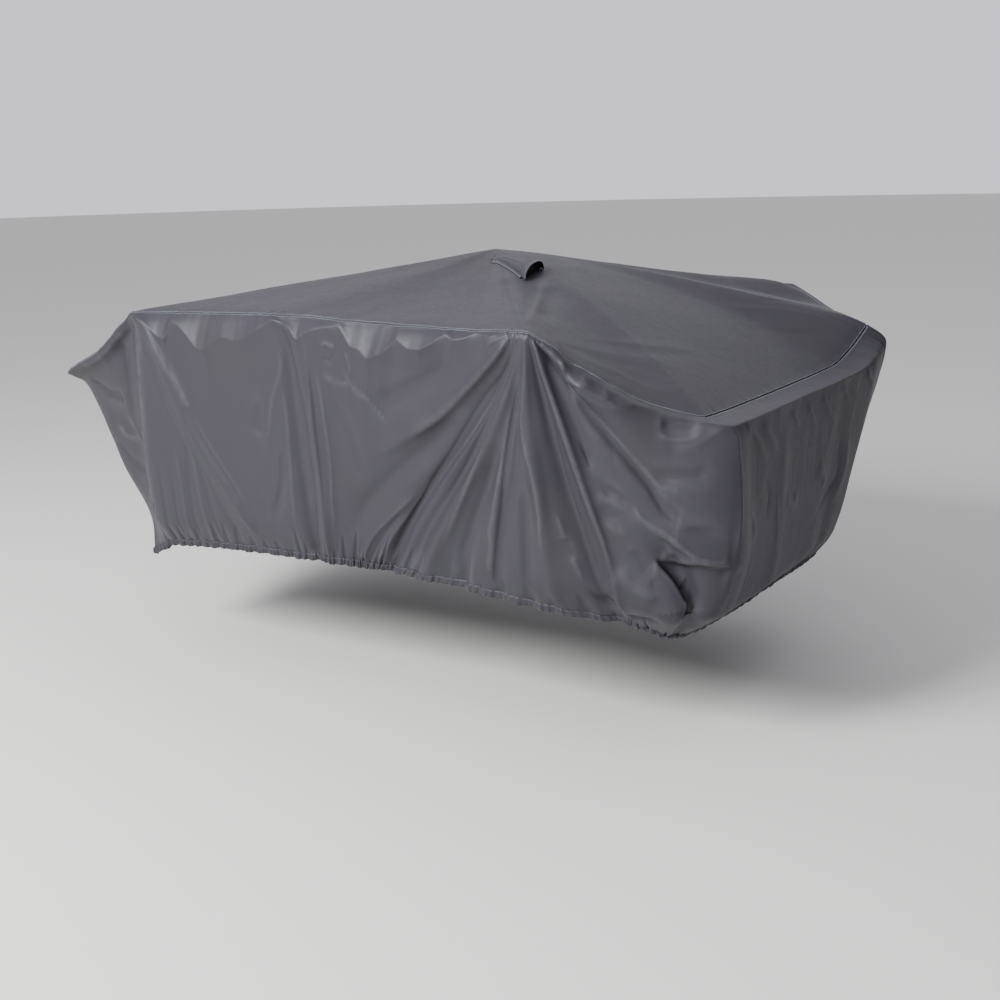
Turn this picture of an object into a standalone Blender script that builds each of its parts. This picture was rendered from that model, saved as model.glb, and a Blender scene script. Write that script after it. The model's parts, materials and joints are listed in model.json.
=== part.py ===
"""Fitted patio furniture cover: a low tent of coated cloth with an elastic hem.

Metres, +Z up. The origin is where the cover is held up: the underside of the top
at its highest point. The long sides face -Y (front) and +Y (back).

The cloth is one surface, read on a grid. Its columns run from the top's highest point
out to the seam and down to the hem, through the sections of a table, and lean with the
fan of folds at the front. Its rows run round the cover. Folds push that surface in or
out, and each sewn piece is a stretch of it.
"""

import math
from collections import namedtuple

import bpy
import numpy as np
from mathutils.bvhtree import BVHTree

# ---------------------------------------------------------------- driving sizes
THICKNESS = 0.002          # coated cloth and its seam allowance, as one sheet
SEAM_GAP = 0.0003          # between the edges of two sewn pieces
HOLD_HEIGHT = 1.197        # ground to the underside of the top's highest point
PEAK_X = 0.03              # the highest point, from the middle of the cover
PEAK_Y = 0.10

# Levels of a column: 0 is the seam, 1 the hem, and -1 the top's highest point.
SHOULDER_LEVEL = 0.13
BELLY_LEVEL = 0.50
TUCK_LEVEL = 0.84
TUCK_SHARE = 0.68          # of the way from the belly to the hem
LIP_LEVEL = -0.07
LEAST_MITRE = 0.5          # least cosine of half a turn that the inside is mitred for

SKIRT_LEVELS = (0.0, 0.05, 0.13, 0.22, 0.32, 0.43, 0.55, 0.67, 0.78, 0.88, 0.95, 1.0)
TOP_RINGS = (  # level, every how many columns
    (-0.07, 1),
    (-0.16, 2),
    (-0.30, 2),
    (-0.48, 4),
    (-0.70, 4),
    (-0.90, 8),
)

# The vent, on the slope of the top: the middle of its mouth from the middle of the
# cover, and where it opens, in degrees from +X.
VENT_X = 0.313
VENT_Y = -0.134
VENT_FACES = 12
VENT_WIDTH = 0.152
VENT_LENGTH = 0.190
VENT_SKEW = 0.170          # how far the tail lies towards the back from the middle of the mouth
VENT_TAPER = 1.15          # how early the hood narrows towards its tail; 1 is a straight cone
VENT_HEIGHT = 0.036
VENT_TAIL = 0.12           # share of the mouth's width and height that is left at the tail
VENT_THICKNESS = 0.0015
VENT_CLEARANCE = 0.0022    # above the top's cloth
MESH_SET_BACK = 0.014      # from the mouth
MESH_THICKNESS = 0.001
MESH_MARGIN = 0.0020       # from the hood's inside
MESH_FROM = 15             # degrees above its foot at which the mesh starts and ends
HOOD_STEPS = 10
ARCH_STEPS = 10

CLOTH_COLOUR = (0.075, 0.073, 0.083)
NET_COLOUR = (0.012, 0.012, 0.013)
SHARP_EDGE = 50            # degrees

# ---------------------------------------------------------------- sections
# x, y, z: the seam, with z above the ground. faces: where the cloth faces, in
# degrees from +X. shoulder, drop: out from the seam and down to the shoulder.
# belly, tuck: bulges halfway down and above the hem. hem_x, hem_y, hem_z: the hem.
# lip, crown: how far the top stands over a straight line to its highest point,
# next to the seam and halfway.
Section = namedtuple(
    "Section",
    "name x y z faces shoulder drop belly tuck hem_x hem_y hem_z lip crown",
)

SECTIONS = (
    Section("left_ear", -1.085, -0.620, 0.857, -140, -0.045, 0.022, -0.014, -0.020, -0.892, -0.505, 0.272, 0.000, 0.00),
    Section("ear_slope", -0.900, -0.655, 0.936, -105, -0.030, 0.050, -0.025, 0.000, -0.815, -0.545, 0.303, 0.004, 0.00),
    Section("ear_root", -0.750, -0.676, 1.036, -95, -0.026, 0.040, 0.012, 0.020, -0.748, -0.580, 0.328, 0.003, 0.00),
    Section("front_left", -0.703, -0.682, 1.061, -92, 0.008, 0.035, 0.044, 0.036, -0.722, -0.598, 0.343, 0.002, 0.00),
    Section("front_flat", -0.400, -0.680, 1.070, -90, 0.006, 0.030, 0.016, 0.012, -0.420, -0.625, 0.378, 0.002, 0.00),
    Section("front_fold", -0.130, -0.680, 1.076, -90, 0.006, 0.030, 0.018, 0.012, -0.150, -0.632, 0.388, 0.002, 0.00),
    Section("front_dip", 0.180, -0.680, 1.068, -90, 0.004, 0.030, 0.006, 0.006, 0.020, -0.620, 0.389, 0.002, -0.01),
    Section("fan_start", 0.460, -0.681, 1.064, -90, 0.005, 0.030, 0.004, 0.004, 0.120, -0.612, 0.386, 0.002, -0.01),
    Section("fan_left", 0.575, -0.684, 1.067, -88, 0.006, 0.025, 0.008, 0.008, 0.270, -0.622, 0.388, 0.002, 0.00),
    Section("fan_middle", 0.605, -0.687, 1.070, -86, 0.007, 0.022, 0.016, 0.012, 0.470, -0.628, 0.374, 0.002, 0.00),
    Section("fan_right", 0.630, -0.684, 1.069, -84, 0.008, 0.022, 0.020, 0.020, 0.660, -0.610, 0.356, 0.002, 0.00),
    Section("fan_end", 0.665, -0.672, 1.050, -78, 0.012, 0.026, 0.030, 0.045, 0.810, -0.560, 0.335, 0.002, 0.008),
    Section("slope", 0.780, -0.612, 0.962, -62, 0.030, 0.030, 0.064, 0.070, 0.880, -0.525, 0.316, 0.002, 0.036),
    Section("slope_foot", 0.900, -0.535, 0.887, -45, 0.052, 0.018, 0.104, 0.086, 0.915, -0.505, 0.304, 0.002, 0.058),
    Section("near_right", 0.996, -0.480, 0.863, -18, 0.088, 0.008, 0.112, 0.072, 0.935, -0.475, 0.306, 0.002, 0.062),
    Section("right_near", 1.000, -0.320, 0.861, 0, 0.078, 0.012, 0.066, 0.058, 0.935, -0.340, 0.292, 0.002, 0.064),
    Section("right_middle", 1.000, 0.000, 0.862, 0, 0.070, 0.014, 0.046, 0.046, 0.940, 0.000, 0.282, 0.002, 0.064),
    Section("right_far", 1.006, 0.330, 0.870, 0, 0.082, 0.010, 0.036, 0.036, 0.935, 0.320, 0.276, 0.002, 0.060),
    Section("far_right", 1.030, 0.535, 0.957, 36, 0.062, 0.052, 0.014, 0.016, 0.905, 0.505, 0.272, 0.010, 0.030),
    Section("back_slope", 0.895, 0.605, 0.996, 66, 0.034, 0.018, 0.030, 0.034, 0.830, 0.545, 0.312, 0.006, 0.014),
    Section("back_right", 0.730, 0.652, 1.062, 84, 0.024, 0.008, 0.030, 0.026, 0.690, 0.595, 0.345, 0.010, 0.00),
    Section("back_high", 0.400, 0.654, 1.076, 90, 0.022, 0.010, 0.016, 0.014, 0.390, 0.624, 0.378, 0.008, 0.00),
    Section("back_middle", 0.000, 0.654, 1.070, 90, 0.018, 0.014, 0.006, 0.006, 0.000, 0.628, 0.386, 0.008, -0.01),
    Section("back_flat", -0.400, 0.654, 1.075, 90, 0.022, 0.010, 0.016, 0.014, -0.400, 0.624, 0.378, 0.008, 0.00),
    Section("back_left", -0.700, 0.652, 1.060, 97, 0.024, 0.012, 0.030, 0.026, -0.690, 0.596, 0.345, 0.008, 0.00),
    Section("left_slope", -0.900, 0.612, 0.960, 112, 0.004, 0.040, 0.004, 0.018, -0.815, 0.545, 0.305, 0.006, 0.01),
    Section("far_left", -1.078, 0.560, 0.852, 148, 0.000, 0.030, 0.020, 0.000, -0.892, 0.503, 0.276, 0.012, 0.01),
    Section("left_far", -1.108, 0.330, 0.815, 180, 0.012, 0.050, 0.030, 0.030, -0.905, 0.330, 0.300, 0.036, 0.035),
    Section("left_middle", -1.114, 0.000, 0.806, 180, 0.010, 0.050, 0.026, 0.030, -0.912, 0.000, 0.312, 0.040, 0.045),
    Section("left_near", -1.110, -0.360, 0.818, 183, 0.008, 0.050, 0.020, 0.024, -0.905, -0.360, 0.300, 0.034, 0.035),
)

# Places round the cover are counted in sections: 8.5 is halfway from the ninth
# section to the tenth. A path that leaves the seam at one place and reaches the hem at
# another turns down as early as its sweep says.
# seam, foot: where a stretch of columns starts. columns: how many it has.
Stretch = namedtuple("Stretch", "panel seam foot columns")
COLUMN_SWEEP = 2.4

STRETCHES = (
    Stretch("front", 0.00, 0.00, 9),
    Stretch("front", 2.45, 2.45, 8),
    Stretch("front", 3.05, 3.20, 8),
    Stretch("front", 4.75, 4.90, 9),
    Stretch("front", 5.40, 5.80, 8),
    Stretch("front", 8.10, 6.60, 9),
    Stretch("front", 8.80, 7.25, 10),
    Stretch("front", 9.30, 8.05, 10),
    Stretch("front", 9.90, 9.60, 19),
    Stretch("front", 11.00, 11.80, 12),
    Stretch("front", 12.90, 13.10, 8),
    Stretch("right", 14.00, 14.00, 20),
    Stretch("back", 18.00, 18.00, 34),
    Stretch("left", 26.00, 26.00, 20),
)
PANELS = ("front", "right", "back", "left")

# ---------------------------------------------------------------- folds
# seam, foot, sweep: the fold's path. width: half the fold's width. out: how far it
# stands out, or in, if less than 0. start, end: the levels between which it is full.
Fold = namedtuple("Fold", "name seam foot sweep width out start end")
FOLD_FADE = 0.14           # levels over which a fold starts and ends
FOLD_EDGE = 1.5            # how fast a fold's sides level off

FOLDS = (
    Fold("front_left_crease", 2.72, 2.75, 1.0, 0.014, -0.030, 0.22, 0.88),
    Fold("left_trough", 2.85, 4.20, 1.0, 0.030, -0.008, 0.16, 0.86),
    Fold("left_ridge", 3.00, 4.50, 1.0, 0.026, 0.012, 0.10, 0.82),
    Fold("front_trough", 4.95, 5.22, 1.5, 0.028, -0.016, 0.12, 0.95),
    Fold("front_ridge", 4.80, 5.47, 3.0, 0.026, 0.013, 0.12, 0.92),
    Fold("fan_brow", 8.75, 3.70, 1.0, 0.040, 0.012, 0.12, 0.38),
    Fold("fan_trough_1", 9.65, 7.05, 2.4, 0.030, -0.034, 0.24, 0.95),
    Fold("fan_rib", 9.70, 7.25, 2.4, 0.014, 0.010, 0.20, 0.50),
    Fold("fan_trough_2", 10.15, 7.55, 2.4, 0.028, -0.030, 0.22, 0.90),
    Fold("fan_ridge_1", 9.95, 7.93, 2.4, 0.028, 0.018, 0.22, 0.95),
    Fold("fan_hollow", 10.00, 8.50, 2.4, 0.040, -0.014, 0.32, 0.95),
    Fold("fan_line", 10.05, 9.17, 2.4, 0.016, -0.014, 0.24, 0.95),
    Fold("fan_ridge_2", 10.00, 9.75, 2.4, 0.024, 0.014, 0.16, 0.40),
    Fold("fan_ridge_3", 9.85, 10.03, 2.4, 0.022, 0.014, 0.46, 0.90),
    Fold("fan_trough_3", 10.30, 11.05, 1.0, 0.034, -0.028, 0.20, 0.95),
    Fold("fan_ridge_4", 10.45, 11.31, 3.5, 0.022, 0.022, 0.14, 0.88),
    Fold("fan_trough_4", 10.85, 12.90, 1.0, 0.030, -0.020, 0.12, 0.42),
    Fold("corner_crease", 10.30, 17.00, 1.0, 0.036, -0.014, 0.14, 0.38),
    Fold("corner_pocket", 9.50, 13.20, 2.4, 0.036, -0.034, 0.62, 0.90),
    Fold("end_crease", 14.50, 14.75, 1.5, 0.034, -0.010, 0.26, 0.80),
    Fold("end_ridge", 15.45, 15.55, 1.5, 0.040, 0.010, 0.35, 0.80),
    Fold("end_trough", 16.70, 16.85, 1.5, 0.050, -0.014, 0.25, 0.90),
    Fold("end_far_ridge", 17.40, 17.50, 1.5, 0.045, 0.012, 0.20, 0.90),
    Fold("back_ridge_1", 20.05, 19.50, 1.5, 0.036, 0.014, 0.16, 0.92),
    Fold("back_trough_1", 20.20, 20.35, 1.5, 0.040, -0.020, 0.18, 0.95),
    Fold("back_ridge_2", 20.12, 20.85, 1.5, 0.040, 0.015, 0.16, 0.92),
    Fold("back_trough_2", 20.20, 21.35, 1.5, 0.046, -0.016, 0.20, 0.90),
    Fold("back_trough_3", 22.00, 22.10, 1.5, 0.060, -0.014, 0.20, 0.95),
    Fold("back_ridge_3", 23.85, 22.90, 1.5, 0.044, 0.014, 0.16, 0.90),
    Fold("back_trough_4", 23.92, 23.45, 1.5, 0.040, -0.018, 0.18, 0.95),
    Fold("back_ridge_4", 24.00, 23.92, 1.5, 0.036, 0.014, 0.16, 0.92),
    Fold("back_trough_5", 24.05, 24.40, 1.5, 0.036, -0.016, 0.18, 0.92),
    Fold("left_trough_1", 26.35, 26.60, 1.5, 0.040, -0.014, 0.20, 0.90),
    Fold("left_ridge_1", 27.40, 27.30, 1.5, 0.050, 0.012, 0.16, 0.90),
    Fold("left_trough_2", 28.40, 28.60, 1.5, 0.050, -0.014, 0.20, 0.92),
    Fold("left_ridge_2", 29.30, 29.50, 1.5, 0.044, 0.012, 0.16, 0.90),
    Fold("vent_fold_1", 9.70, 9.70, 1.0, 0.050, -0.008, -0.62, -0.16),
    Fold("vent_fold_2", 10.90, 10.90, 1.0, 0.045, 0.008, -0.62, -0.16),
)


# ---------------------------------------------------------------- smooth curves
def smooth_through(knots, values, places):
    """Monotone cubic through values (knots x ...) at the knots, read at the places."""
    steps = np.diff(knots).reshape((-1,) + (1,) * (values.ndim - 1))
    slopes = np.diff(values, axis=0) / steps
    before, after = slopes[:-1], slopes[1:]
    agree = before * after > 0
    middle = np.where(agree, 2.0 * before * after / np.where(agree, before + after, 1.0), 0.0)
    tangents = np.concatenate([slopes[:1], middle, slopes[-1:]])
    cell = np.clip(np.searchsorted(knots, places, side="right") - 1, 0, len(knots) - 2)
    share = (places - knots[cell]) / (knots[cell + 1] - knots[cell])
    share = share.reshape((-1,) + (1,) * (values.ndim - 1))
    leave, arrive = tangents[cell] * steps[cell], tangents[cell + 1] * steps[cell]
    return (
        values[cell] * (1 + 2 * share) * (1 - share) ** 2
        + leave * share * (1 - share) ** 2
        + values[cell + 1] * share**2 * (3 - 2 * share)
        + arrive * share**2 * (share - 1)
    )


def smooth_step(share):
    share = np.clip(share, 0, 1)
    return share * share * (3 - 2 * share)


# ---------------------------------------------------------------- the cloth
def section_points():
    """The skirt's knots: their levels and points (levels, sections, 3), the top's crests and its peak."""
    table = np.array([section[1:] for section in SECTIONS], float)
    x, y, z, faces, shoulder, drop, belly, tuck, hem_x, hem_y, hem_z, lip, crown = table.T
    out = np.stack([np.cos(np.radians(faces)), np.sin(np.radians(faces)), 0 * faces], -1)
    up = np.array([0.0, 0.0, 1.0])
    seam = np.stack([x, y, z], -1)
    hem = np.stack([hem_x, hem_y, hem_z], -1)
    edge = seam + out * shoulder[:, None] - up * drop[:, None]
    middle = (edge + hem) / 2 + out * belly[:, None]
    low = middle + (hem - middle) * TUCK_SHARE + out * tuck[:, None]
    peak = np.array([PEAK_X, PEAK_Y, HOLD_HEIGHT + THICKNESS])
    near = seam + (peak - seam) * abs(LIP_LEVEL) + up * lip[:, None]
    crest = (seam + peak) / 2 + up * crown[:, None]
    levels = np.array([LIP_LEVEL, 0.0, SHOULDER_LEVEL, BELLY_LEVEL, TUCK_LEVEL, 1.0])
    return levels, np.stack([near, seam, edge, middle, low, hem]), crest, peak


def section_places():
    """How far round the cover each section is, in metres, and the whole way round."""
    _, points, _, _ = section_points()
    middle = points[[1, 3, 5]]
    steps = np.linalg.norm(np.roll(middle, -1, axis=1) - middle, axis=2).mean(axis=0)
    return np.concatenate([[0.0], np.cumsum(steps)[:-1]]), steps.sum()


def round_the_cover(values, places, ends=3):
    """A section table's values, read smoothly at places round the cover."""
    knots, whole = section_places()
    knots = np.concatenate([knots[-ends:] - whole, knots, knots[:ends] + whole])
    values = np.concatenate([values[-ends:], values, values[:ends]])
    return smooth_through(knots, values, places % whole)


def path_places(seam, foot, sweep, level):
    """Where paths that leave the seam and reach the hem at these sections are, at a level."""
    knots, whole = section_places()
    counted = foot + (seam - foot) * (1 - min(max(level, 0.0), 1.0)) ** sweep
    return np.interp(counted, np.arange(len(knots) + 1), np.append(knots, whole))


def base_row(places, level):
    """The cloth without folds at one level."""
    knots, points, crest, peak = section_points()
    columns = np.stack([round_the_cover(row, places) for row in points])
    if level >= 0:
        return smooth_through(knots, columns, np.array([level]))[0]
    near, seam = columns[0], columns[1]
    share = -level
    reach = share / abs(LIP_LEVEL)
    lip = near - (seam + (peak - seam) * abs(LIP_LEVEL))
    rise = round_the_cover(crest, places) - (seam + peak) / 2
    return seam + (peak - seam) * share + lip * reach * math.exp(1 - reach) + rise * 4 * share * (1 - share)


def fold_row(places, level, row):
    """How far the folds push the cloth out at one level.

    Where the columns crowd together, the folds are as much smaller.
    """
    _, whole = section_places()
    total = np.zeros(len(places))
    for fold in FOLDS:
        crest = path_places(fold.seam, fold.foot, fold.sweep, level)
        apart = (places - crest + whole / 2) % whole - whole / 2
        across = (1 + (apart / fold.width) ** 2) ** -FOLD_EDGE
        begin = smooth_step((level - fold.start) / FOLD_FADE + 1)
        finish = smooth_step((fold.end - level) / FOLD_FADE + 1)
        total += fold.out * across * begin * finish
    ahead = np.linalg.norm(np.roll(row, -1, axis=0) - row, axis=1)
    room = np.append(places[1:], places[0] + whole) - places
    return total * np.clip(ahead / room, 0.0, 1.0)


def unit(vectors):
    return vectors / np.linalg.norm(vectors, axis=-1, keepdims=True)


def outward(grid):
    """Unit normals of a (rows, columns, 3) grid that is closed along its rows, and their mitres.

    A normal halves the turn from the row above to the row below. Its mitre is how much
    further in than the cloth's thickness the inside lies there.
    """
    along = np.roll(grid, -1, axis=1) - np.roll(grid, 1, axis=1)
    faces = unit(np.cross(grid[1:] - grid[:-1], along[1:] + along[:-1]))
    above = np.concatenate([faces[:1], faces])
    normals = unit(above + np.concatenate([faces, faces[-1:]]))
    return normals, 1 / np.clip((normals * above).sum(-1, keepdims=True), LEAST_MITRE, 1)


def cloth(seams, feet, levels):
    """The outside and the inside of the cloth, where columns with these seams and feet cross the levels."""
    places = [path_places(seams, feet, COLUMN_SWEEP, level) for level in levels]
    grid = np.stack([base_row(row, level) for row, level in zip(places, levels)])
    heights = [fold_row(row, level, points) for row, level, points in zip(places, levels, grid)]
    grid = grid + outward(grid)[0] * np.stack(heights)[..., None]
    grid -= np.array([PEAK_X, PEAK_Y, HOLD_HEIGHT])
    normals, mitres = outward(grid)
    return grid, grid - normals * mitres * THICKNESS


def column_sections():
    """Seam and foot of each column, counted in sections, and each panel's first and last column."""
    seams, feet, spans = [], [], {}
    ends = STRETCHES[1:] + (Stretch("front", len(SECTIONS), len(SECTIONS), 0),)
    for stretch, following in zip(STRETCHES, ends):
        start = spans.get(stretch.panel, (len(seams),))[0]
        seams += list(np.linspace(stretch.seam, following.seam, stretch.columns, endpoint=False))
        feet += list(np.linspace(stretch.foot, following.foot, stretch.columns, endpoint=False))
        spans[stretch.panel] = (start, len(seams))
    return np.array(seams), np.array(feet), spans


# ---------------------------------------------------------------- solids
def finish(name, colour, roughness):
    material = bpy.data.materials.new(name)
    material.use_nodes = True
    shader = material.node_tree.nodes["Principled BSDF"]
    shader.inputs["Base Color"].default_value = (*colour, 1.0)
    shader.inputs["Roughness"].default_value = roughness
    shader.inputs["Metallic"].default_value = 0.0
    material.diffuse_color = (*colour, 1.0)
    return material


def solid(name, points, faces, material):
    mesh = bpy.data.meshes.new(name)
    mesh.from_pydata([tuple(point) for point in points], [], faces)
    mesh.shade_smooth()
    mesh.set_sharp_from_angle(angle=math.radians(SHARP_EDGE))
    made = bpy.data.objects.new(name, mesh)
    made.data.materials.append(material)
    bpy.context.scene.collection.objects.link(made)
    return made


def clear_scene():
    for old in list(bpy.data.objects):
        bpy.data.objects.remove(old, do_unlink=True)


def leaning(outer, centres, row, column):
    """Whether the cell's falling diagonal lies nearer to the cloth at its centre than the rising one."""
    falling = (outer[row, column] + outer[row + 1, column + 1]) / 2
    rising = (outer[row, column + 1] + outer[row + 1, column]) / 2
    centre = centres[row, column]
    return np.linalg.norm(falling - centre) <= np.linalg.norm(rising - centre)


def sheet_solid(name, outer, inner, centres, material):
    """A sheet between two grids of the same (rows, columns); centres are the cloth in the cells' middles.

    The edge's faces are all cut from the first point outside to the last one inside, so
    that two sheets' edges lie side by side, also where the cloth twists.
    """
    rows, columns = outer.shape[:2]
    points = np.concatenate([outer.reshape(-1, 3), inner.reshape(-1, 3)])
    back = rows * columns
    faces = []
    for row in range(rows - 1):
        for column in range(columns - 1):
            a = row * columns + column
            b, c, d = a + 1, a + columns + 1, a + columns
            halves = [(a, d, c), (a, c, b)] if leaning(outer, centres, row, column) else [(a, d, b), (d, c, b)]
            for half in halves:
                faces.append(half)
                faces.append(tuple(point + back for point in reversed(half)))
    rim = list(range(columns))
    rim += [row * columns + columns - 1 for row in range(1, rows)]
    rim += [(rows - 1) * columns + column for column in range(columns - 2, -1, -1)]
    rim += [row * columns for row in range(rows - 2, 0, -1)]
    for here, there in zip(rim, rim[1:] + rim[:1]):
        if here < there:
            faces += [(here, there, there + back), (here, there + back, here + back)]
        else:
            faces += [(here, there, here + back), (there, there + back, here + back)]
    return solid(name, points, faces, material)


def ring_faces(first, outer, second, inner, turn):
    """Faces from a ring of outer points to one of inner points, of which there are as many or half."""
    faces = []
    for step in range(inner):
        here, there = second + step, second + (step + 1) % inner
        if outer == inner:
            faces.append((first + step, first + (step + 1) % outer, there, here))
        else:
            a, b, c = first + 2 * step, first + 2 * step + 1, first + (2 * step + 2) % outer
            faces += [(a, b, here), (b, there, here), (b, c, there)]
    return [face[::-1] for face in faces] if turn else faces


def top_solid(rings, material):
    """A closed sheet from rings of outer and inner points, ending at the highest point."""
    points, faces, rims = [], [], []
    for side in (0, 1):
        starts = []
        for ring in rings:
            starts.append(len(points))
            points.extend(ring[side])
        rims.append(starts[0])
        counts = [len(ring[side]) for ring in rings]
        for first, second, outer, inner in zip(starts[:-2], starts[1:-1], counts[:-2], counts[1:-1]):
            faces += ring_faces(first, outer, second, inner, side == 1)
        last, tip, count = starts[-2], starts[-1], counts[-2]
        for step in range(count):
            face = (last + step, last + (step + 1) % count, tip)
            faces.append(face[::-1] if side else face)
    count = len(rings[0][0])
    for step in range(count):
        there = (step + 1) % count
        faces.append((rims[0] + there, rims[0] + step, rims[1] + there))
        faces.append((rims[0] + step, rims[1] + step, rims[1] + there))
    return solid("top_panel", points, faces, material)


def build_skirt(sheets, centres, spans, material):
    """The four strips of the skirt, each a stretch of columns, parted by the seams' gaps."""
    outer = sheets[0]
    across = unit(np.roll(outer, -1, axis=1) - np.roll(outer, 1, axis=1)) * SEAM_GAP / 2
    for name in PANELS:
        first, last = spans[name]
        columns = np.arange(first, last + 1) % outer.shape[1]
        pieces = [sheet[:, columns] for sheet in sheets]
        for piece in pieces:
            piece[:, 0] += across[:, columns[0]]
            piece[:, -1] -= across[:, columns[-1]]
        sheet_solid("skirt_" + name, *pieces, centres[:, columns[:-1]], material)


def build_top(sheets, material):
    """The top, from its seam in to its highest point."""
    steps = [1] + [every for _, every in TOP_RINGS]
    rings = [[sheet[row, ::every] for sheet in sheets] for row, every in enumerate(steps)]
    rings.append([[np.array([0.0, 0.0, THICKNESS])], [np.zeros(3)]])
    return top_solid(rings, material)


def build_cover(material):
    """All the cover's cloth; gives the top."""
    seams, feet, spans = column_sections()
    levels = np.array([level for level, _ in TOP_RINGS][::-1] + list(SKIRT_LEVELS))
    seam_row = len(TOP_RINGS)
    sheets = cloth(seams, feet, levels)
    grid = sheets[0]
    half_seams = (seams + np.append(seams[1:], len(SECTIONS))) / 2
    half_feet = (feet + np.append(feet[1:], len(SECTIONS))) / 2
    centres, _ = cloth(half_seams, half_feet, (levels[1:] + levels[:-1]) / 2)

    down = unit(grid[seam_row + 1] - grid[seam_row - 1]) * SEAM_GAP / 2
    skirt_sheets = [sheet[seam_row:].copy() for sheet in sheets]
    top_sheets = [sheet[seam_row::-1].copy() for sheet in sheets]
    for skirt_sheet, top_sheet in zip(skirt_sheets, top_sheets):
        skirt_sheet[0] += down
        top_sheet[0] -= down
    build_skirt(skirt_sheets, centres[seam_row:], spans, material)
    return build_top(top_sheets, material)


# ---------------------------------------------------------------- the vent
def build_vent(top, hood_finish, mesh_finish):
    """The hood over the vent, a half cone open at its mouth, and the mesh in that mouth."""
    tree = BVHTree.FromObject(top, bpy.context.evaluated_depsgraph_get())
    forward = np.array([math.cos(math.radians(VENT_FACES)), math.sin(math.radians(VENT_FACES))])
    aside = np.array([-forward[1], forward[0]])
    mouth = np.array([VENT_X - PEAK_X, VENT_Y - PEAK_Y])

    def on_top(along, across):
        x, y = mouth + forward * along + aside * across
        hit = tree.ray_cast((x, y, 1.0), (0.0, 0.0, -1.0))[0]
        return np.array([x, y, hit.z + VENT_CLEARANCE])

    def arch(share, inset, start=0):
        """Points over the hood at a share of its length from the tail, and the points below them."""
        size = VENT_TAIL + (1 - VENT_TAIL) * share**VENT_TAPER
        shift = VENT_SKEW * (1 - share)
        half = VENT_WIDTH / 2 * size - inset
        height = VENT_HEIGHT * size - inset
        angles = np.radians(np.linspace(start, 180 - start, ARCH_STEPS + 1))
        feet = np.array([on_top((share - 1) * VENT_LENGTH, shift + half * math.cos(angle)) for angle in angles])
        over = feet.copy()
        over[:, 2] += height * np.sin(angles)
        return over, feet

    shares = [1 - step / HOOD_STEPS for step in range(HOOD_STEPS + 1)]
    outer = np.stack([arch(share, 0.0)[0] for share in shares])
    inner = np.stack([arch(share, VENT_THICKNESS)[0] for share in shares])
    middles = (outer[1:, 1:] + outer[:-1, :-1]) / 2
    sheet_solid("vent_hood", outer, inner, middles, hood_finish)

    rim, foot = arch(1 - MESH_SET_BACK / VENT_LENGTH, VENT_THICKNESS + MESH_MARGIN, MESH_FROM)
    behind = np.stack([rim, foot])
    ahead = behind + np.array([*forward, 0.0]) * MESH_THICKNESS
    middles = (ahead[1:, 1:] + ahead[:-1, :-1]) / 2
    sheet_solid("vent_mesh", ahead[:, ::-1], behind[:, ::-1], middles[:, ::-1], mesh_finish)


def main():
    clear_scene()
    cloth_finish = finish("coated_cloth", CLOTH_COLOUR, 0.55)
    mesh_finish = finish("vent_net", NET_COLOUR, 0.8)
    top = build_cover(cloth_finish)
    build_vent(top, cloth_finish, mesh_finish)


main()
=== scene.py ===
"""The fitted patio cover, dressed: its cloth with creases, seams, gathered hem and vent.

Metres, +Z up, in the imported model's frame: the origin is where the cover is held up, the
underside of its top at the highest point. The long sides face -Y (front) and +Y (back).

The cloth is one surface, read on a fine grid. Its places are counted in sections round
the cover, and in levels: -1 is the top's highest point, 0 the seam and 1 the hem.
"""

import json
import logging
import math
from dataclasses import dataclass, field
from enum import Enum

import bpy
import numpy as np
from bpy.types import Material, Node, NodeSocket, NodeTree, Object
from mathutils import Matrix, Vector
from mathutils.bvhtree import BVHTree

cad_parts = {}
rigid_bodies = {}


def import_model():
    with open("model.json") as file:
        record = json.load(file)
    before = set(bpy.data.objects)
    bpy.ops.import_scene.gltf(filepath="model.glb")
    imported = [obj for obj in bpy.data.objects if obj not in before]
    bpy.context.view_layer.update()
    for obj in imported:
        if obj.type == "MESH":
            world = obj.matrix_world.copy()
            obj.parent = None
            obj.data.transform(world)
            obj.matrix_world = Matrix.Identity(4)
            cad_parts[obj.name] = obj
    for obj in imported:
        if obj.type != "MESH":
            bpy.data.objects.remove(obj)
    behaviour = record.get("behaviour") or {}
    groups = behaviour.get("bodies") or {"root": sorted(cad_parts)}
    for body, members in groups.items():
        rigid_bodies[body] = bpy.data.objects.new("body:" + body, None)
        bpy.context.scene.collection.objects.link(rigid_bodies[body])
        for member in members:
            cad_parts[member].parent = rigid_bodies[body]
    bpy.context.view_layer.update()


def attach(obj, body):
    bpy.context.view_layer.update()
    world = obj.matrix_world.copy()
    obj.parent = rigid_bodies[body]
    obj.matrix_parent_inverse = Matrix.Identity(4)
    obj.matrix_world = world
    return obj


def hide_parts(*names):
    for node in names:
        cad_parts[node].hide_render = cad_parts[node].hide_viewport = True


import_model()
LOG = logging.getLogger("patio_cover")
Array = np.ndarray
Pair = tuple[float, float]
Colour = tuple[float, float, float]
Face = tuple[int, ...]

# ---------------------------------------------------------------- driving sizes
CLOTH_THICKNESS = 0.0012   # of a sheet, which lies with its outside on the solid's
SOLID_THICKNESS = 0.002    # of the solid cloth, whose underside is at the origin
SEAM_GAP = 0.0003          # between the edges of two sewn pieces
HOLD_HEIGHT = 1.197        # ground to the underside of the top's highest point
PEAK_X = 0.03              # the highest point, from the middle of the cover
PEAK_Y = 0.10
DROP = 0.69                # from seam to hem, along the cloth
NET_THICKNESS = 0.0008

HOOD_FLAT = (0.20, 0.19)

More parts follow.
